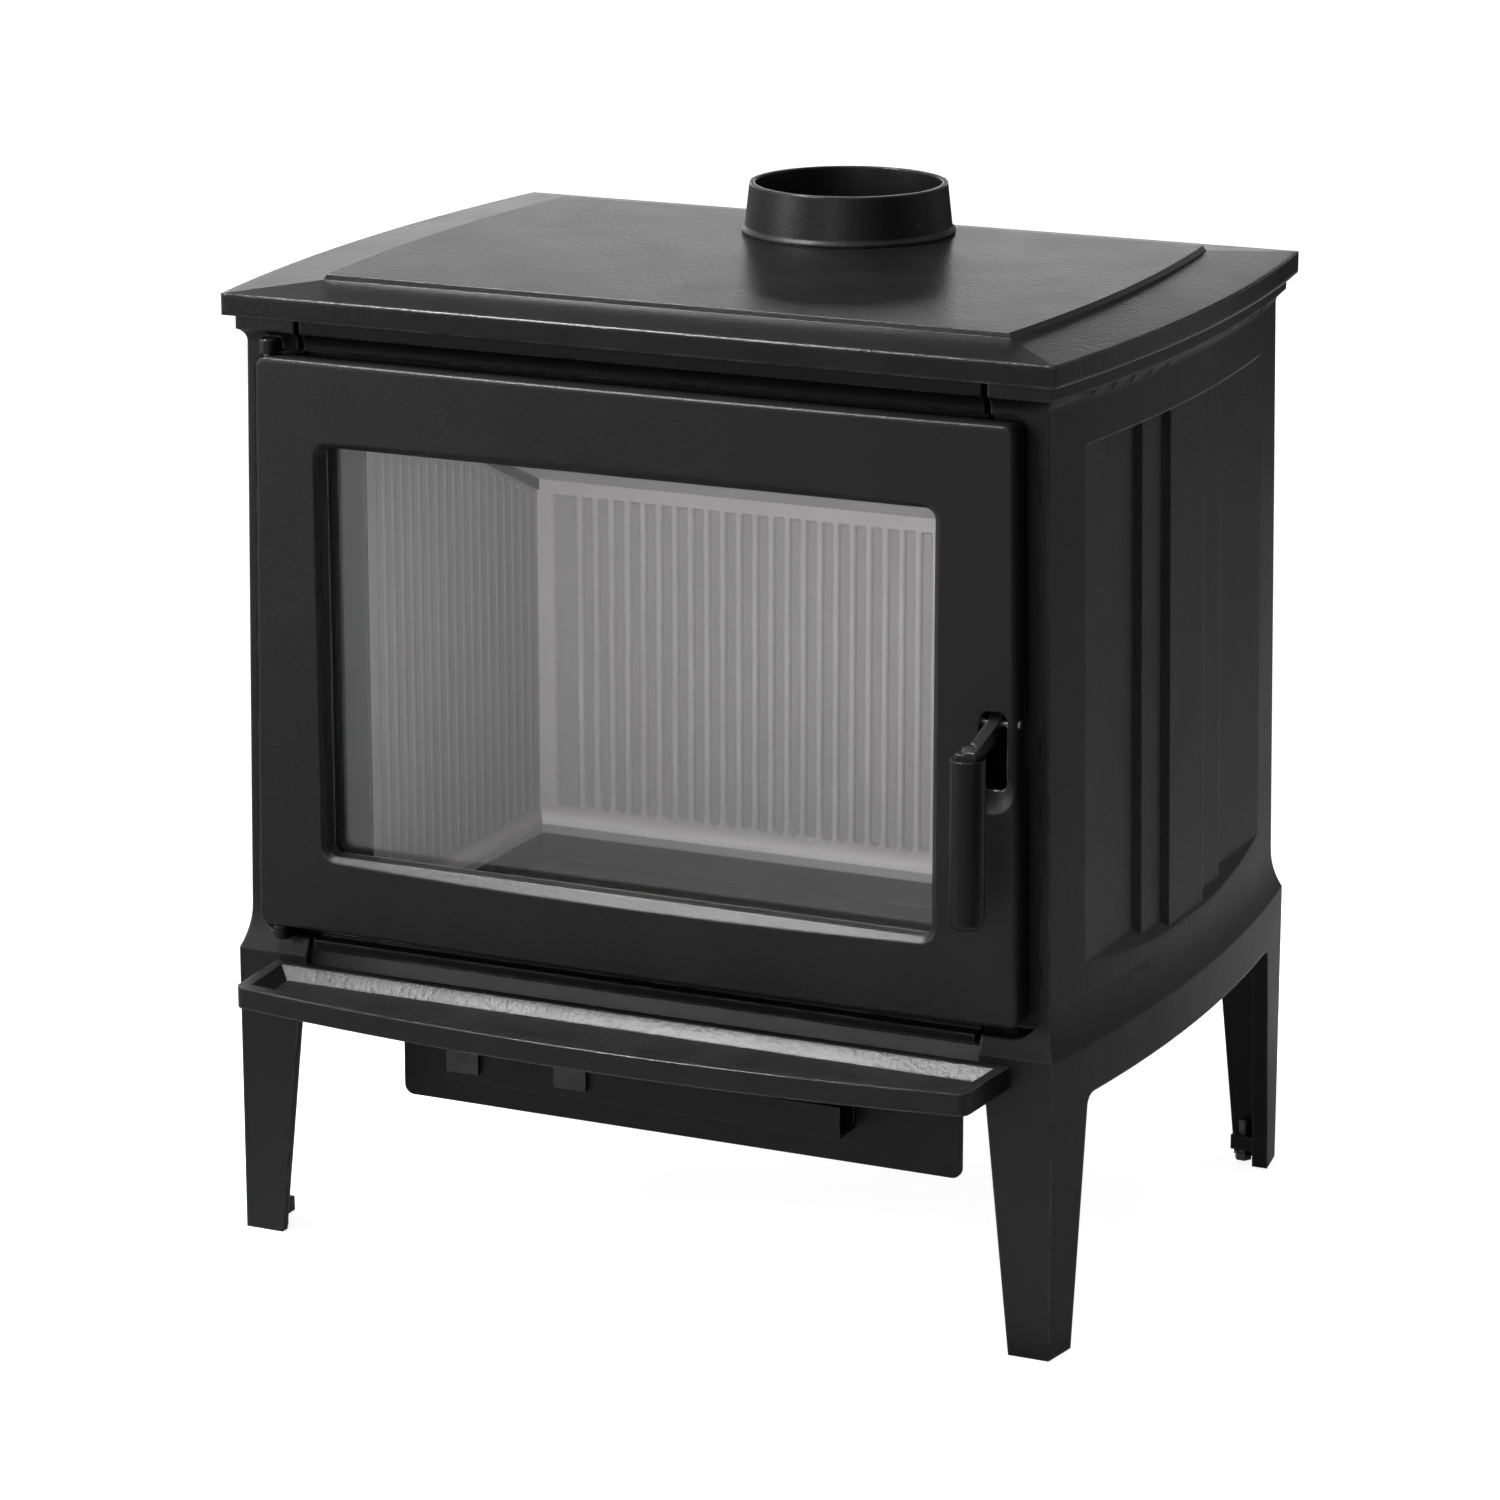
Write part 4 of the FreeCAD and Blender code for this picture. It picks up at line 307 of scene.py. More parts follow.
sideIron = paintedIron("sideIron", sideFinish)
doorIron = paintedIron("doorIron", doorFinish)
frameIron = paintedIron("frameIron", frameFinish)
paintedLightBackIron = paintedIron("paintedLightBackIron", paintedLightBackFinish)
topIron = paintedIron("topIron", topFinish)
shelfIron = paintedIron("shelfIron", shelfFinish)
hearthIron = paintedIron("hearthIron", hearthFinish)
innerIron = paintedIron("innerIron", innerFinish)
gripBlack = paintedIron("gripBlack", gripFinish)
sheetBlack = paintedIron("sheetBlack", sheetFinish)

steelWear = {
    "mottle": 0.008,
    "edge": 0.0005,
    "patch": 0.004,
    "edgePaling": 0.5,
    "glint": 1.3,  # how much paler a rubbed edge is
    "gloss": (-0.06, 0.08),
    "bump": 0.15,
    "grainDeep": 0.0002,
}


def bareSteel(name, finish):
    material, tree, shader = newMaterial(name)
    grain = groupIn(tree, castGrain, Grain_size=finish["grain"], Mottle_size=steelWear["mottle"])
    edgePaling = groupIn(tree, edgeRoundAndPale, Edge_radius=steelWear["edge"], Patchiness=steelWear["patch"])
    color = mixColor(tree, grain.outputs["Mottle"], grey(finish["dark"]), grey(finish["light"]))
    paleEdged = calc(tree, "MULTIPLY", edgePaling.outputs["Mask"], steelWear["edgePaling"])
    bright = mixColor(tree, paleEdged, color, grey(finish["light"] * steelWear["glint"]))
    tree.links.new(bright, shader.inputs["Base Color"])
    shader.inputs["Metallic"].default_value = 1.0
    sleek, dull = (finish["gloss"] + swing for swing in steelWear["gloss"])
    tree.links.new(spread(tree, grain.outputs["Mottle"], 0.0, 1.0, sleek, dull), shader.inputs["Roughness"])
    roughen(tree, shader, grain, steelWear["bump"], steelWear["grainDeep"], edgePaling)
    return material


pinSteel = bareSteel("pinSteel", {"dark": 0.5, "light": 0.62, "gloss": 0.28, "grain": 0.0005})
boltSteel = bareSteel("boltSteel", {"dark": 0.06, "light": 0.1, "gloss": 0.42, "grain": 0.0006})
tabSteel = bareSteel("tabSteel", {"dark": 0.024, "light": 0.036, "gloss": 0.42, "grain": 0.0007})

brickFinish = {
    "pale": (0.53, 0.515, 0.52, 1),
    "deep": (0.48, 0.466, 0.47, 1),
    "fleck": (0.6, 0.585, 0.58, 1),
    # painted shade: the darker colour laid into the grooves
    "groove": (0.32, 0.31, 0.316, 1),
    # painted light: the pale colour laid on the sloping foot
    "paintedFootLight": (0.95, 0.93, 0.93, 1),
    "fleckShare": 0.5,
    "rubShare": 0.35,
    "paintedShadeShare": 0.8,
    "rough": (0.82, 0.93),
    "specular": 0.25,
    "bump": 0.35,
    "grainDeep": 0.0005,
}


def brickMaterial():
    material, tree, shader = newMaterial("vermiculite")
    grain = groupIn(tree, castGrain, Grain_size=0.0018, Mottle_size=0.03)
    edgePaling = groupIn(tree, edgeRoundAndPale, Edge_radius=0.001, Patchiness=0.01)
    body = mixColor(tree, grain.outputs["Mottle"], brickFinish["deep"], brickFinish["pale"])
    flecks = calc(tree, "MULTIPLY", grain.outputs["Fleck"], brickFinish["fleckShare"])
    flecked = mixColor(tree, flecks, body, brickFinish["fleck"])
    edges = calc(tree, "MULTIPLY", edgePaling.outputs["Mask"], brickFinish["rubShare"])
    paleEdged = mixColor(tree, edges, flecked, brickFinish["fleck"])
    # the sunk mark carries painted shade in the grooves and over the side bricks, and painted light on the
    # sloping foot
    sunk = put(tree, "ShaderNodeAttribute", attribute_name="sunk").outputs["Fac"]
    paintedShade = calc(tree, "MULTIPLY", sunk, brickFinish["paintedShadeShare"], clamp=True)
    withPaintedShade = mixColor(tree, paintedShade, paleEdged, brickFinish["groove"])
    footLightMask = calc(tree, "MULTIPLY", sunk, -brickFinish["paintedShadeShare"], clamp=True)
    paintedFootLight = mixColor(tree, footLightMask, withPaintedShade, brickFinish["paintedFootLight"])
    tree.links.new(paintedFootLight, shader.inputs["Base Color"])
    rough = spread(tree, grain.outputs["Mottle"], 0.0, 1.0, *brickFinish["rough"])
    tree.links.new(rough, shader.inputs["Roughness"])
    shader.inputs["Specular IOR Level"].default_value = brickFinish["specular"]
    roughen(tree, shader, grain, brickFinish["bump"], brickFinish["grainDeep"], edgePaling)
    return material


vermiculite = brickMaterial()

paneFinish = {"Base Color": grey(0.93), "Roughness": 0.02, "IOR": 1.45, "Transmission Weight": 1.0}
paneShadow = grey(0.9)


def glassMaterial():
    material, tree, shader = newMaterial("doorPane")
    for label, value in paneFinish.items():
        shader.inputs[label].default_value = value
    clear = put(tree, "ShaderNodeBsdfTransparent", {"Color": paneShadow})
    shadow = put(tree, "ShaderNodeLightPath").outputs["Is Shadow Ray"]
    both = put(tree, "ShaderNodeMixShader", {0: shadow, 1: shader.outputs[0], 2: clear.outputs[0]})
    tree.links.new(both.outputs[0], tree.nodes["Material Output"].inputs["Surface"])
    return material


doorPane = glassMaterial()

ropeFinish = {
    "dark": grey(0.05),
    "light": grey(0.11, 0.02),
    "fuzz": grey(0.22),
    "fuzzShare": 0.5,
    "rough": 0.9,
    "sheen": 0.3,
    "bump": 0.6,
    "grainDeep": 0.0004,
}


def ropeMaterial():
    material, tree, shader = newMaterial("glassRope")
    grain = groupIn(tree, castGrain, Grain_size=0.0007, Mottle_size=0.01)
    color = mixColor(tree, grain.outputs["Mottle"], ropeFinish["dark"], ropeFinish["light"])
    fuzz = calc(tree, "MULTIPLY", grain.outputs["Fleck"], ropeFinish["fuzzShare"])
    tree.links.new(mixColor(tree, fuzz, color, ropeFinish["fuzz"]), shader.inputs["Base Color"])
    shader.inputs["Roughness"].default_value = ropeFinish["rough"]
    shader.inputs["Sheen Weight"].default_value = ropeFinish["sheen"]
    roughen(tree, shader, grain, ropeFinish["bump"], ropeFinish["grainDeep"])
    return material


glassRope = ropeMaterial()
print("stove: materials made")

finishOf = {
    sideIron: ["side_casting_left", "side_casting_right", "flue_collar"],
    paintedLightBackIron: ["back_plate"],
    frameIron: ["front_frame"],
    topIron: ["top_plate"],
    doorIron: ["door_frame", "handle_arm"],
    shelfIron: ["ash_shelf"],
    gripBlack: ["handle_grip"],
    hearthIron: ["hearth_basin", "fire_grate"],
    innerIron: ["baffle_supports", "brick_retainers"],
    sheetBlack: ["air_box", "air_rail", "ash_pan", "air_wash_deflector"],
    pinSteel: ["handle_pivot_pin"],
    boltSteel: ["front_frame_bolts", "back_plate_bolts", "collar_bolts", "shelf_bolts", "deflector_screws",
                "air_box_screws", "rail_screws", "keeper_screws", "glass_clips", "glass_clip_screws",
                "grip_screw", "latch_keeper", "keeper_roller", "hinge_pin_lower", "hinge_pin_upper",
                "levelling_foot_front_left", "levelling_foot_front_right", "levelling_foot_rear_left",
                "levelling_foot_rear_right"],
    tabSteel: ["primary_air_slide", "secondary_air_slide"],
    vermiculite: ["back_brick", "side_brick_left", "side_brick_right", "baffle_plate"],
    doorPane: ["door_glass"],
    glassRope: ["glass_gasket", "door_rope_seal"],
}
for material, names in finishOf.items():
    for name in names:
        nodes[name].data.materials.clear()
        nodes[name].data.materials.append(material)
print("stove: solids finished")


def grow(name, tree, values, start=None):  # runs a geometry tree and keeps its result as a plain mesh
    piece = bpy.data.objects.new(name, start or bpy.data.meshes.new(name))
    scene.collection.objects.link(piece)
    modifier = piece.modifiers.new("grow", "NODES")
    modifier.node_group = tree
    for socket in tree.interface.items_tree:
        if socket.in_out == "INPUT" and socket.name in values:
            modifier[socket.identifier] = values[socket.name]
    made = piece.evaluated_get(bpy.context.evaluated_depsgraph_get())
    mesh = bpy.data.meshes.new_from_object(made)
    piece.modifiers.clear()
    piece.data = mesh
    mesh.name = name
    return piece


def fit(piece, body, slot, *replaced):
    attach(piece, body)
    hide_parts(*replaced)


def vector(tree, x, y, z):
    return put(tree, "ShaderNodeCombineXYZ", {0: x, 1: y, 2: z}).outputs[0]


def smooth(tree, value, low, high):
    return spread(tree, value, low, high, 0.0, 1.0, "SMOOTHSTEP")


def moved(tree, shape, place, turn):
    rotation = put(tree, "FunctionNodeEulerToRotation", {0: turn}).outputs[0]
    node = put(tree, "GeometryNodeTransform", {"Geometry": shape, "Translation": place, "Rotation": rotation})
    return node.outputs[0]


def closeTree(tree, shape, source, drain):
    real = put(tree, "GeometryNodeRealizeInstances", {"Geometry": shape}).outputs[0]
    done = put(tree, "GeometryNodeSetMaterial", {"Geometry": real, "Material": source["Finish"]})
    tree.links.new(done.outputs[0], drain["Geometry"])


brickFlutes = {
    "pitch": 0.01447,
    "grooveHalf": 0.0055,
    "depth": 0.0034,
    "sideDepth": 0.0006,
    "sideGrooveShade": 0.08,  # how much of the back's painted groove shade the side bricks show
    "sideShade": 0.9,  # and how much painted shade lies all over them
    "shoulder": 0.0021,  # how softly a rib rounds into its groove
    "headBorder": 0.031,
    "sideHead": 0.005,
    "footBorder": 0.015,
    "edgeBorder": 0.0145,
    "ledge": 0.0036,  # how far the foot of the brick leans into the fire
    "toe": 0.003,  # height up to which the foot leans in full
    "samples": 12,  # columns in one pitch
    "rows": 24,
    "rowEnds": (14, 15, 18),  # rows where the foot, the plain middle and the brow of the grooves end
    "footHigh": 0.028,
    "browHigh": 0.0036,
    "browOver": 0.0006,  # how far the brow reaches into the head border
    "browFade": 0.0012,
    "slope": (-0.0805, 0.1705, 0.286),  # where the side bricks' tops start and stop falling, and their low end
}


def flutedBrickTree():
    tree, source, drain = newGroup(
        "flutedBrick",
        "GeometryNodeTree",
        {"Size": "Vector", "Columns": 100, "Pitch": 0.0145, "Groove half": 0.005, "Depth": 0.003,
         "Shoulder": 0.002, "Head border": 0.03, "Foot border": 0.015, "Field half": 0.2, "Last rib": 0.18,
         "Slope from": -0.1, "Slope to": 0.1, "High from": 0.3, "High to": 0.3, "Ledge": 0.004, "Painted shade": 1.0,
         "Shade": 0.0, "Place": "Vector", "Turn": 0.0, "Finish": "Material"},
        {"Geometry": "Geometry"},
    )
    rows, footHigh = brickFlutes["rows"], brickFlutes["footHigh"]
    browHigh, browOver = brickFlutes["browHigh"], brickFlutes["browOver"]
    footEnd, plainEnd, browEnd = (row / rows for row in brickFlutes["rowEnds"])
    size = put(tree, "ShaderNodeSeparateXYZ", {0: source["Size"]}).outputs
    block = put(tree, "GeometryNodeMeshCube",
                {"Size": vector(tree, size["X"], size["Y"], 1.0), "Vertices X": source["Columns"],
                 "Vertices Y": 2, "Vertices Z": rows + 1}).outputs[0]
    position = put(tree, "GeometryNodeInputPosition").outputs[0]
    spot = put(tree, "ShaderNodeSeparateXYZ", {0: position}).outputs
    share = calc(tree, "ADD", spot["Z"], 0.5)
    height = spread(tree, share, 0.0, footEnd, 0.0, footHigh)  # rows crowd at both ends of the grooves
    fall = [source[label] for label in ("Slope from", "Slope to", "High from", "High to")]
    high = spread(tree, spot["X"], *fall)
    ends = calc(tree, "ADD", source["Head border"], footHigh + browHigh - browOver)
    plain = spread(tree, share, footEnd, plainEnd, 0.0, calc(tree, "SUBTRACT", high, ends))
    brow = spread(tree, share, plainEnd, browEnd, 0.0, browHigh)
    crown = spread(tree, share, browEnd, 1.0, 0.0, calc(tree, "SUBTRACT", source["Head border"], browOver))
    z = calc(tree, "ADD", calc(tree, "ADD", height, plain), calc(tree, "ADD", brow, crown))
    half, radius = calc(tree, "MULTIPLY", source["Pitch"], 0.5), source["Groove half"]
    wave = calc(tree, "SUBTRACT", half, calc(tree, "PINGPONG", spot["X"], half))
    out = calc(tree, "ABSOLUTE", spot["X"])
    beyond = calc(tree, "SUBTRACT", out, calc(tree, "SUBTRACT", source["Field half"], radius))
    before = calc(tree, "SUBTRACT", calc(tree, "ADD", source["Last rib"], half), out)
    margin = calc(tree, "MAXIMUM", calc(tree, "MAXIMUM", beyond, before), 0.0)
    isMargin = calc(tree, "GREATER_THAN", out, source["Last rib"])
    across = calc(tree, "MULTIPLY_ADD", isMargin, calc(tree, "SUBTRACT", margin, wave), wave)
    start = calc(tree, "ADD", source["Foot border"], radius)
    under = calc(tree, "MAXIMUM", calc(tree, "SUBTRACT", start, z), 0.0)
    square = calc(tree, "MULTIPLY_ADD", across, across, calc(tree, "MULTIPLY", under, under))
    away = calc(tree, "SQRT", square)
    sunk = smooth(tree, calc(tree, "SUBTRACT", radius, away), 0.0, source["Shoulder"])
    top = calc(tree, "SUBTRACT", high, source["Head border"])
    faded = smooth(tree, z, top, calc(tree, "SUBTRACT", top, brickFlutes["browFade"]))
    sunk = calc(tree, "MULTIPLY", sunk, faded)
    foot = smooth(tree, z, source["Foot border"], brickFlutes["toe"])
    lean = calc(tree, "MULTIPLY", foot, source["Ledge"])
    shift = calc(tree, "SUBTRACT", calc(tree, "MULTIPLY", sunk, source["Depth"]), lean)
    face = calc(tree, "LESS_THAN", spot["Y"], 0.0)
    place = vector(tree, spot["X"], calc(tree, "MULTIPLY_ADD", face, shift, spot["Y"]), z)
    # painted shade: darker in the grooves and all over the side bricks
    paintedShade = calc(tree, "MULTIPLY_ADD", sunk, source["Painted shade"], source["Shade"])
    mark = calc(tree, "SUBTRACT", paintedShade, foot)  # 1 in a groove (painted shade), -1 on the sloping foot (painted light)
    marked = put(tree, "GeometryNodeStoreNamedAttribute",
                 {"Geometry": block, "Name": "sunk", "Value": calc(tree, "MULTIPLY", face, mark)},
                 data_type="FLOAT", domain="POINT").outputs[0]
    fluted = put(tree, "GeometryNodeSetPosition", {"Geometry": marked, "Position": place}).outputs[0]
    stood = moved(tree, fluted, source["Place"], vector(tree, 0.0, 0.0, source["Turn"]))
    closeTree(tree, stood, source, drain)
    return tree


def layBricks():
    tree = flutedBrickTree()
    pitch = brickFlutes["pitch"]
    slopeFront, slopeRear, rearHigh = brickFlutes["slope"]
    turns = {"back_brick": 0.0, "side_brick_left": math.pi / 2, "side_brick_right": -math.pi / 2}
    for node, turn in turns.items():
        low, high = (Vector(corner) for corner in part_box(node))
        size = high - low
        middle = (low.y + high.y) / 2
        if turn:
            wide, thick = size.y, size.x
            depth, head = brickFlutes["sideDepth"], brickFlutes["sideHead"]
            paintedShade, shade = brickFlutes["sideGrooveShade"], brickFlutes["sideShade"]
            slope = (slopeFront - middle, slopeRear - middle, size.z, rearHigh)
        else:
            wide, thick = size.x, size.y
            depth, head = brickFlutes["depth"], brickFlutes["headBorder"]
            paintedShade, shade = 1.0, 0.0
            slope = (-1.0, 1.0, size.z, size.z)
        if turn < 0:  # the right brick is turned the other way
            slope = (-slope[1], -slope[0], slope[3], slope[2])
        fieldHalf = wide / 2 - brickFlutes["edgeBorder"]
        ribs = math.floor((fieldHalf - brickFlutes["grooveHalf"]) / pitch - 0.5)
        values = {
            "Size": (wide, thick, size.z), "Columns": round(wide / pitch * brickFlutes["samples"]) + 1,
            "Pitch": pitch, "Groove half": brickFlutes["grooveHalf"], "Depth": depth, "Painted shade": paintedShade,
            "Shade": shade, "Shoulder": brickFlutes["shoulder"], "Head border": head,
            "Foot border": brickFlutes["footBorder"], "Field half": fieldHalf, "Last rib": ribs * pitch,
            "Slope from": slope[0], "Slope to": slope[1], "High from": slope[2], "High to": slope[3],
            "Ledge": brickFlutes["ledge"], "Place": ((low.x + high.x) / 2, middle, low.z), "Turn": turn,
            "Finish": vermiculite,
        }
        fit(grow(node + "_fluted", tree, values), "stove", "brick", node)


layBricks()
print("stove: fire bricks laid")

doorSeal = {"strands": 4, "turns": 96, "strand": 0.002, "across": 0.0019, "deep": 0.0042, "corner": 0.012,
            "points": 900, "inset": 0.004}
paneTape = {"strands": 6, "turns": 0, "strand": 0.00098, "across": 0.0029, "deep": 0.0, "corner": 0.002,
            "points": 160, "inset": 0.004}
strandForm = {"cornerSteps": 8, "sides": 6, "start": 0.25}  # a strand starts at this share of its turn


def ropeRingTree():
    tree, source, drain = newGroup(
        "ropeRing",
        "GeometryNodeTree",
        {"Width": 0.5, "Height": 0.4, "Corner": 0.01, "Points": 400, "Strands": 4, "Turns": 10.0, "Phase": 0.0,
         "Strand": 0.002, "Across": 0.002, "Deep": 0.004, "Place": "Vector", "Finish": "Material"},
        {"Geometry": "Geometry"},
    )
    path = put(tree, "GeometryNodeCurvePrimitiveQuadrilateral",
               {"Width": source["Width"], "Height": source["Height"]}).outputs[0]
    fillet = {"Curve": path, "Radius": source["Corner"], "Count": strandForm["cornerSteps"]}
    bent = put(tree, "GeometryNodeFilletCurve", fillet, mode="POLY").outputs[0]
    upright = moved(tree, bent, (0, 0, 0), (math.pi / 2, 0, 0))
    even = put(tree, "GeometryNodeResampleCurve", {"Curve": upright, "Count": source["Points"]}).outputs[0]
    copies = put(tree, "GeometryNodeDuplicateElements", {"Geometry": even, "Amount": source["Strands"]},
                 domain="SPLINE")
    along = put(tree, "GeometryNodeSplineParameter").outputs["Factor"]
    start = calc(tree, "DIVIDE", copies.outputs["Duplicate Index"], source["Strands"])
    spun = calc(tree, "ADD", calc(tree, "MULTIPLY_ADD", along, source["Turns"], start), source["Phase"])
    angle = calc(tree, "MULTIPLY", spun, 2 * math.pi)
    tangent = put(tree, "GeometryNodeInputTangent").outputs[0]
    outward = vectorCalc(tree, "CROSS_PRODUCT", tangent, (0, 1, 0))[0]
    sideStep = calc(tree, "MULTIPLY", calc(tree, "COSINE", angle), source["Across"])
    backStep = calc(tree, "MULTIPLY", calc(tree, "SINE", angle), source["Deep"])
    step = put(tree, "ShaderNodeVectorMath", {0: outward, "Scale": sideStep}, operation="SCALE").outputs[0]
    both = vectorCalc(tree, "ADD", step, vector(tree, 0.0, backStep, 0.0))[0]
    laid = put(tree, "GeometryNodeSetPosition", {"Geometry": copies.outputs[0], "Offset": both}).outputs[0]
    ring = put(tree, "GeometryNodeCurvePrimitiveCircle",
               {"Resolution": strandForm["sides"], "Radius": source["Strand"]}).outputs[0]
    tube = put(tree, "GeometryNodeCurveToMesh", {"Curve": laid, "Profile Curve": ring}).outputs[0]
    closeTree(tree, moved(tree, tube, source["Place"], (0, 0, 0)), source, drain)
    return tree


def laySeals():
    tree = ropeRingTree()
    seals = (("door_rope_seal", doorSeal, "doorSealRope"), ("glass_gasket", paneTape, "paneTape"))
    for node, ring, name in seals:
        low, high = (Vector(corner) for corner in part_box(node))
        values = {
            "Width": high.x - low.x - 2 * ring["inset"], "Height": high.z - low.z - 2 * ring["inset"],
            "Corner": ring["corner"], "Points": ring["points"], "Strands": ring["strands"],
            "Turns": float(ring["turns"]), "Phase": strandForm["start"] / ring["strands"],
            "Strand": ring["strand"], "Across": ring["across"], "Deep": ring["deep"],
            "Place": (low + high) / 2, "Finish": glassRope,
        }
        fit(grow(name, tree, values), "door", "rope", node)


laySeals()
print("stove: door seals laid")

hexBolt = {
    "back_plate_bolts": {"head": 0.0072, "high": 0.0045, "washer": 0.0095, "shank": 0.004, "length": 0.012,
                         "aim": (-math.pi / 2, 0, 0), "out": 1, "seat": 0.0055},
    "rail_screws": {"head": 0.0052, "high": 0.0032, "washer": 0.0064, "shank": 0.003, "length": 0.006,
                    "aim": (math.pi / 2, 0, 0), "out": -1, "seat": 0.004},
}
boltForm = {
    "washerThick": 0.001,
    "washerSides": 24,
    "headSides": 6,
    "shankSides": 16,
    "crownShare": 0.2,  # of the head's height
    "crownTaper": 0.84,
}


def hexBoltTree():
    tree, source, drain = newGroup(
        "hexBolts",
        "GeometryNodeTree",
        {"Geometry": "Geometry", "Head radius": 0.007, "Head height": 0.005, "Washer radius": 0.009,
         "Shank radius": 0.004, "Shank length": 0.01, "Aim": "Vector", "Finish": "Material"},
        {"Geometry": "Geometry"},
    )

    def disc(sides, radius, depth, rise):
        wires = {"Vertices": sides, "Radius": radius, "Depth": depth}
        drum = put(tree, "GeometryNodeMeshCylinder", wires).outputs[0]
        return moved(tree, drum, vector(tree, 0.0, 0.0, rise), (0, 0, 0))

    washerThick, crownShare, headSides = boltForm["washerThick"], boltForm["crownShare"], boltForm["headSides"]
    headHigh, shankLong = source["Head height"], source["Shank length"]
    block = calc(tree, "MULTIPLY", headHigh, 1 - crownShare)
    crown = calc(tree, "MULTIPLY", headHigh, crownShare)
    washer = disc(boltForm["washerSides"], source["Washer radius"], washerThick, washerThick / 2)
    body = disc(headSides, source["Head radius"], block, calc(tree, "MULTIPLY_ADD", block, 0.5, washerThick))
    narrow = calc(tree, "MULTIPLY", source["Head radius"], boltForm["crownTaper"])
    cone = put(tree, "GeometryNodeMeshCone",
               {"Vertices": headSides, "Radius Top": narrow, "Radius Bottom": source["Head radius"],
                "Depth": crown}).outputs[0]
    cap = moved(tree, cone, vector(tree, 0.0, 0.0, calc(tree, "ADD", block, washerThick)), (0, 0, 0))
    sunken = calc(tree, "MULTIPLY", shankLong, -0.5)
    shank = disc(boltForm["shankSides"], source["Shank radius"], shankLong, sunken)
    joined = put(tree, "GeometryNodeJoinGeometry")
    for part in (washer, body, cap, shank):
        tree.links.new(part, joined.inputs[0])
    aimed = put(tree, "FunctionNodeEulerToRotation", {0: source["Aim"]}).outputs[0]
    bolted = put(tree, "GeometryNodeInstanceOnPoints",
                 {"Points": source["Geometry"], "Instance": joined.outputs[0], "Rotation": aimed}).outputs[0]
    closeTree(tree, bolted, source, drain)
    return tree


nearly = 1e-6  # points this close count as one


def solidBoxes(name):  # the lowest and highest corner of each separate solid in a node
    shell = bmesh.new()
    shell.from_mesh(nodes[name].data)
    bmesh.ops.remove_doubles(shell, verts=shell.verts, dist=nearly)
    boxes, seen = [], set()
    for first in shell.verts:
        if first in seen:
            continue
        island, queue = [], [first]
        seen.add(first)
        while queue:
            vert = queue.pop()
            island.append(vert.co.copy())
            for edge in vert.link_edges:
                other = edge.other_vert(vert)
                if other not in seen:
                    seen.add(other)
                    queue.append(other)
        boxes.append([Vector(pick(co[axis] for co in island) for axis in range(3)) for pick in (min, max)])
    shell.free()
    return boxes


def setBolts():
    tree = hexBoltTree()
    for node, bolt in hexBolt.items():
        seats = bpy.data.meshes.new(node + "Seats")
        places = []
        for low, high in solidBoxes(node):
            middle = (low + high) / 2
            y = high.y - bolt["seat"] if bolt["out"] > 0 else low.y + bolt["seat"]
            places.append((middle.x, y, middle.z))
        seats.from_pydata(places, [], [])
        values = {"Head radius": bolt["head"], "Head height": bolt["high"], "Washer radius": bolt["washer"],
                  "Shank radius": bolt["shank"], "Shank length": bolt["length"], "Aim": bolt["aim"],
                  "Finish": boltSteel}
        fit(grow(node + "_hex", tree, values, seats), "stove", "dark_steel", node)


setBolts()
print("stove: bolts set")

latchCover = {
    "across": (0.2745, 0.3045),  # over the latch notch, on the back of the front frame
    "upright": (0.449, 0.513),
    "seat": -0.1705,
    "thick": 0.0012,
    "corner": 0.004,
    "cornerSteps": 5,
    "edge": 0.0003,
    "rivet": 0.0022,
    "rivetInset": 0.0028,
    "rivetFlat": 0.6,
    "rivetSteps": (14, 8),
}


def pressCover():
    (left, right), (low, high), corner = latchCover["across"], latchCover["upright"], latchCover["corner"]
    steps = latchCover["cornerSteps"]
    shell = bmesh.new()
    edge = []
    for quarter, (x, z) in enumerate(((right, low), (right, high), (left, high), (left, low))):
        inset = Vector((corner if x == left else -corner, 0, corner if z == low else -corner))
        middle = Vector((x, latchCover["seat"], z)) + inset
        for step in range(steps + 1):
            turn = math.radians(-90 + 90 * quarter + 90 * step / steps)
            edge.append(shell.verts.new(middle + corner * Vector((math.cos(turn), 0, math.sin(turn)))))
    sheet = shell.faces.new(edge)
    raised = bmesh.ops.extrude_face_region(shell, geom=[sheet])["geom"]
    verts = [item for item in raised if isinstance(item, bmesh.types.BMVert)]
    bmesh.ops.translate(shell, verts=verts, vec=(0, latchCover["thick"], 0))
    rims = [line for line in shell.edges if abs(line.verts[0].co.y - line.verts[1].co.y) < nearly]
    bmesh.ops.bevel(shell, geom=rims, offset=latchCover["edge"], segments=2, affect="EDGES")
    inset, (around, along) = latchCover["rivetInset"], latchCover["rivetSteps"]
    for x in (left + inset, right - inset):
        for z in (low + inset, high - inset):
            ball = bmesh.ops.create_uvsphere(
                shell, u_segments=around, v_segments=along, radius=latchCover["rivet"])
            head = ball["verts"]
            bmesh.ops.scale(shell, vec=(1, latchCover["rivetFlat"], 1), verts=head)
            bmesh.ops.translate(shell, vec=(x, latchCover["seat"] + latchCover["thick"], z), verts=head)
    bmesh.ops.recalc_face_normals(shell, faces=shell.faces)
    mesh = bpy.data.meshes.new("latchCover")
    shell.to_mesh(mesh)
    shell.free()
    mesh.materials.append(sheetBlack)
    cover = bpy.data.objects.new("latchCover", mesh)
    scene.collection.objects.link(cover)
    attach(cover, "stove")


pressCover()
print("stove: latch notch covered")

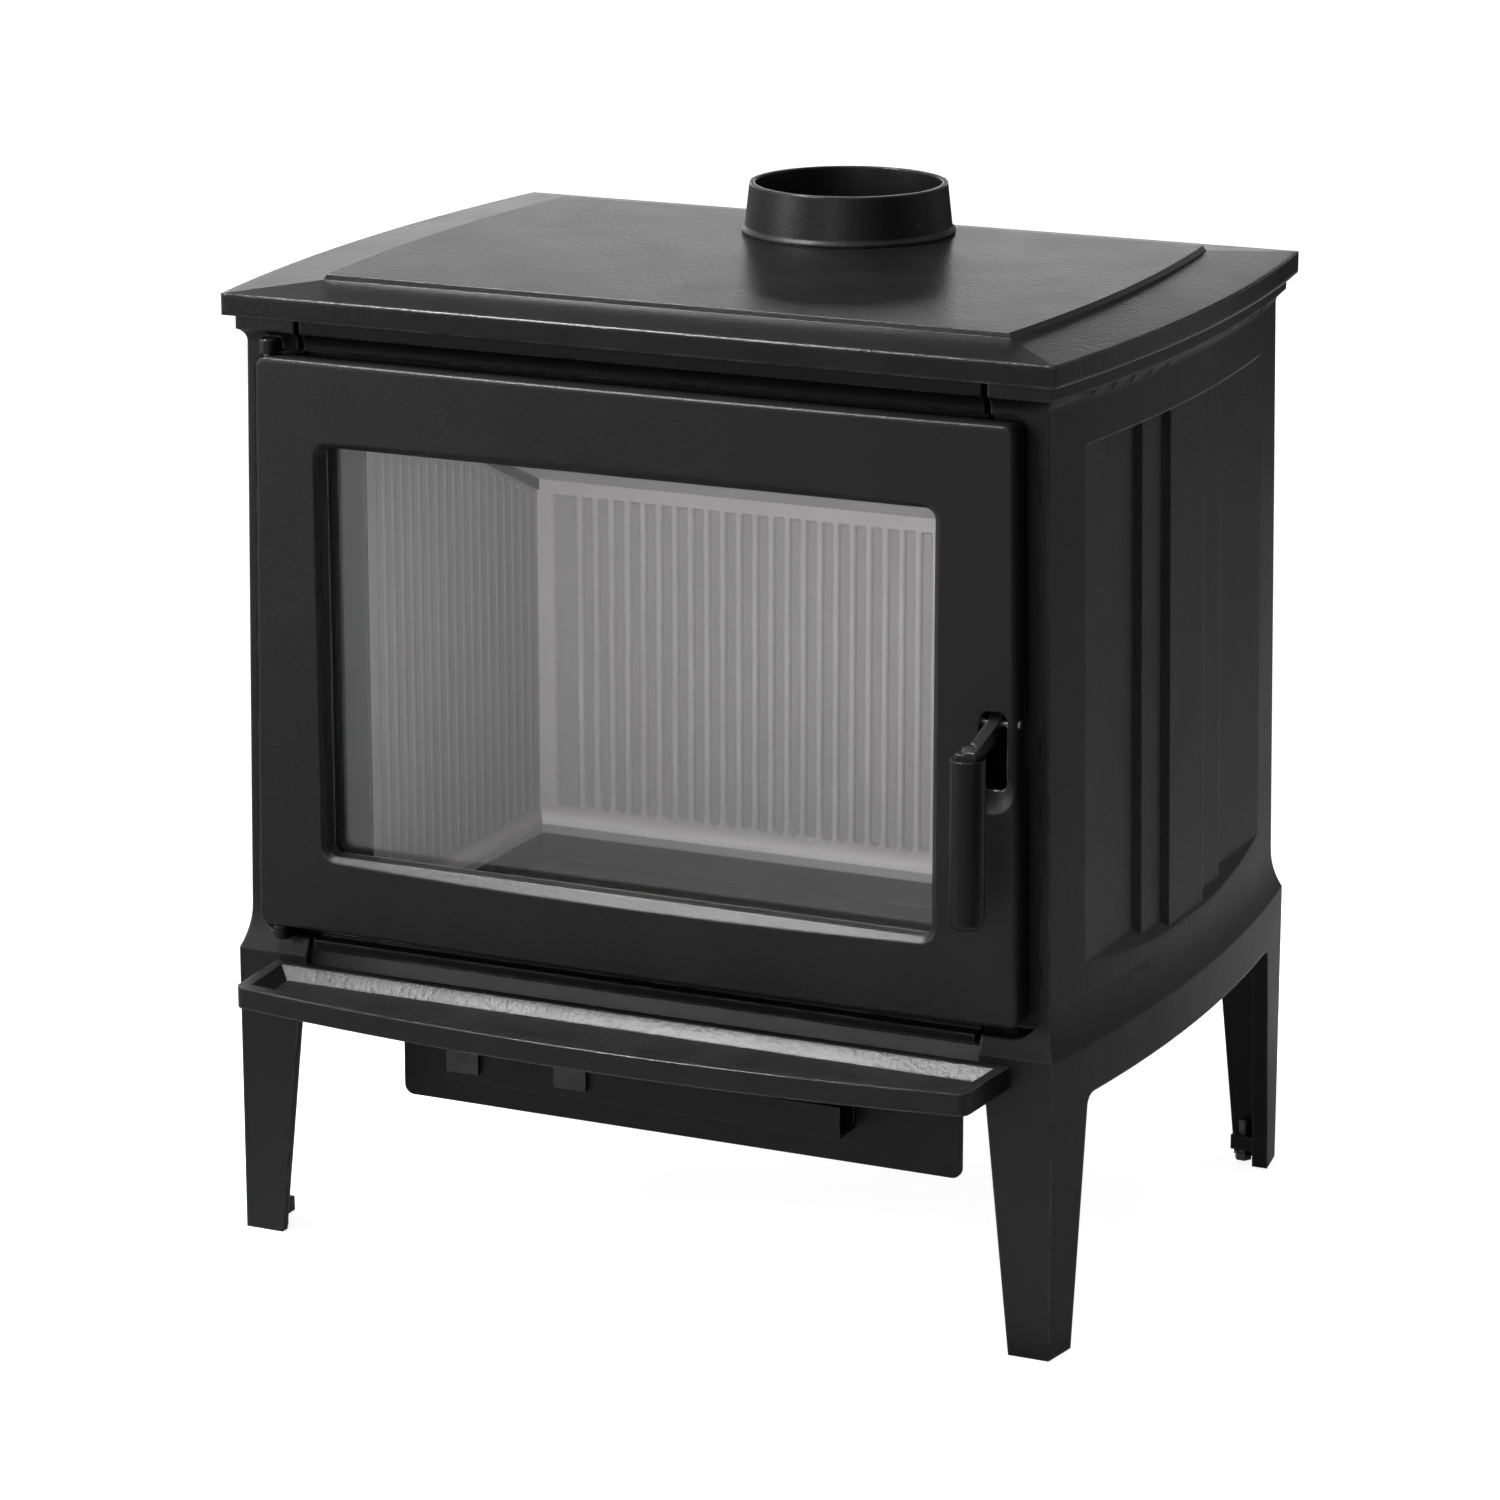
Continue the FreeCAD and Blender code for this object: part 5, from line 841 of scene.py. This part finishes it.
studio = {
    "floor": 0.5,
    "floorReach": 40,
    "floorDrop": 0.0005,
    "floorRough": 0.9,
    "floorSpecular": 0.1,
    "glow": 0.86,  # lifts the floor to white for the eye
    "mirrored": {"world": 0.68, "floor": 0.2},  # shares of the white that iron and glass mirror
    "sky": (0.22, 0.95),  # light from the near right and from the far left
    "skyWay": (-0.85, 0.3, 0.43),
    "cloths": {  # cloths for the iron to mirror, two off to the right and two behind with a slit between
        "rightCloth": {"from": (1.35, -0.9), "to": (1.5, 0.15), "low": 0.0, "high": 2.2, "grey": 0.03},
        "sideCloth": {"from": (1.5, 0.15), "to": (2.6, 8.0), "low": 0.0, "high": 2.2, "grey": 0.8},
        "rearCloth": {"from": (-4.0, 3.0), "to": (1.3, 3.0), "low": 0.0, "high": 0.95, "grey": 0.03},
        "rearHood": {"from": (-4.0, 3.0), "to": (1.3, 3.0), "low": 1.32, "high": 3.1, "grey": 0.03},
    },
    "panels": {
        "keyPanel": {"place": (-2.9, -2.3, 1.1), "aim": (0, 0, 0.45), "size": (1.4, 1.4), "power": 77},
        "fillPanel": {"place": (0.3, -3.4, 1.15), "aim": (0, 0, 0.45), "size": (1.0, 0.8), "power": 24.5},
        "topPanel": {"place": (-1.0, -0.75, 2.7), "aim": (0, -0.2, 0.45), "size": (1.2, 0.4), "power": 14.5,
                     "spread": 40},
        "backPanel": {"place": (-2.1, 3.4, 1.4), "aim": (0, 0, 0.7), "size": (3.0, 1.6), "power": 46},
    },
}


def hangPanel(name, panel):
    lamp = bpy.data.lights.new(name, "AREA")
    lamp.shape = "RECTANGLE"
    lamp.size, lamp.size_y = panel["size"]
    lamp.energy = panel["power"]
    lamp.spread = math.radians(panel.get("spread", 180))
    hung = bpy.data.objects.new(name, lamp)
    scene.collection.objects.link(hung)
    hung.location = panel["place"]
    hung.rotation_euler = (Vector(panel["aim"]) - hung.location).to_track_quat("-Z", "Y").to_euler()
    hung.visible_camera = False


def backdropRays(tree, mirrorShare):  # seen white, also through the glass, and mirrored in part
    path = put(tree, "ShaderNodeLightPath").outputs
    seen = calc(tree, "MAXIMUM", path["Is Camera Ray"], path["Is Transmission Ray"])
    return calc(tree, "MAXIMUM", seen, calc(tree, "MULTIPLY", path["Is Glossy Ray"], mirrorShare))


def setWorld():
    world = bpy.data.worlds.new("studio")
    scene.world = world
    world.use_nodes = True
    tree = world.node_tree
    tree.nodes.clear()
    way = put(tree, "ShaderNodeTexCoord").outputs["Generated"]
    aim = vectorCalc(tree, "DOT_PRODUCT", way, studio["skyWay"])["Value"]
    soft = spread(tree, aim, -1.0, 1.0, *studio["sky"], "SMOOTHSTEP")
    light = put(tree, "ShaderNodeBackground", {"Strength": soft})
    white = put(tree, "ShaderNodeBackground", {"Color": grey(1.0), "Strength": 1.0})
    rays = backdropRays(tree, studio["mirrored"]["world"])
    both = put(tree, "ShaderNodeMixShader", {0: rays, 1: light.outputs[0], 2: white.outputs[0]})
    put(tree, "ShaderNodeOutputWorld", {0: both.outputs[0]})


def hangCloth(name, cloth):
    (x0, y0), (x1, y1), low, high = cloth["from"], cloth["to"], cloth["low"], cloth["high"]
    mesh = bpy.data.meshes.new(name)
    mesh.from_pydata([(x0, y0, low), (x1, y1, low), (x1, y1, high), (x0, y0, high)], [], [(0, 1, 2, 3)])
    hung = bpy.data.objects.new(name, mesh)
    scene.collection.objects.link(hung)
    material, _, shader = newMaterial(name)
    shader.inputs["Base Color"].default_value = grey(cloth["grey"])
    shader.inputs["Roughness"].default_value = 1.0
    mesh.materials.append(material)
    hung.visible_camera = False


def layFloor():
    mesh = bpy.data.meshes.new("studioFloor")
    reach = studio["floorReach"]
    corners = [(-reach, -reach, 0), (reach, -reach, 0), (reach, reach, 0), (-reach, reach, 0)]
    mesh.from_pydata(corners, [], [(0, 1, 2, 3)])
    floor = bpy.data.objects.new("studioFloor", mesh)
    scene.collection.objects.link(floor)
    floor.location.z = -studio["floorDrop"]
    material, tree, shader = newMaterial("paleFloor")
    shader.inputs["Base Color"].default_value = grey(studio["floor"])
    shader.inputs["Roughness"].default_value = studio["floorRough"]
    shader.inputs["Specular IOR Level"].default_value = studio["floorSpecular"]
    shader.inputs["Emission Color"].default_value = grey(1.0)
    rays = backdropRays(tree, studio["mirrored"]["floor"])
    tree.links.new(calc(tree, "MULTIPLY", rays, studio["glow"]), shader.inputs["Emission Strength"])
    mesh.materials.append(material)


setWorld()
for name, panel in studio["panels"].items():
    hangPanel(name, panel)
for name, cloth in studio["cloths"].items():
    hangCloth(name, cloth)
layFloor()
print("stove: studio lit")
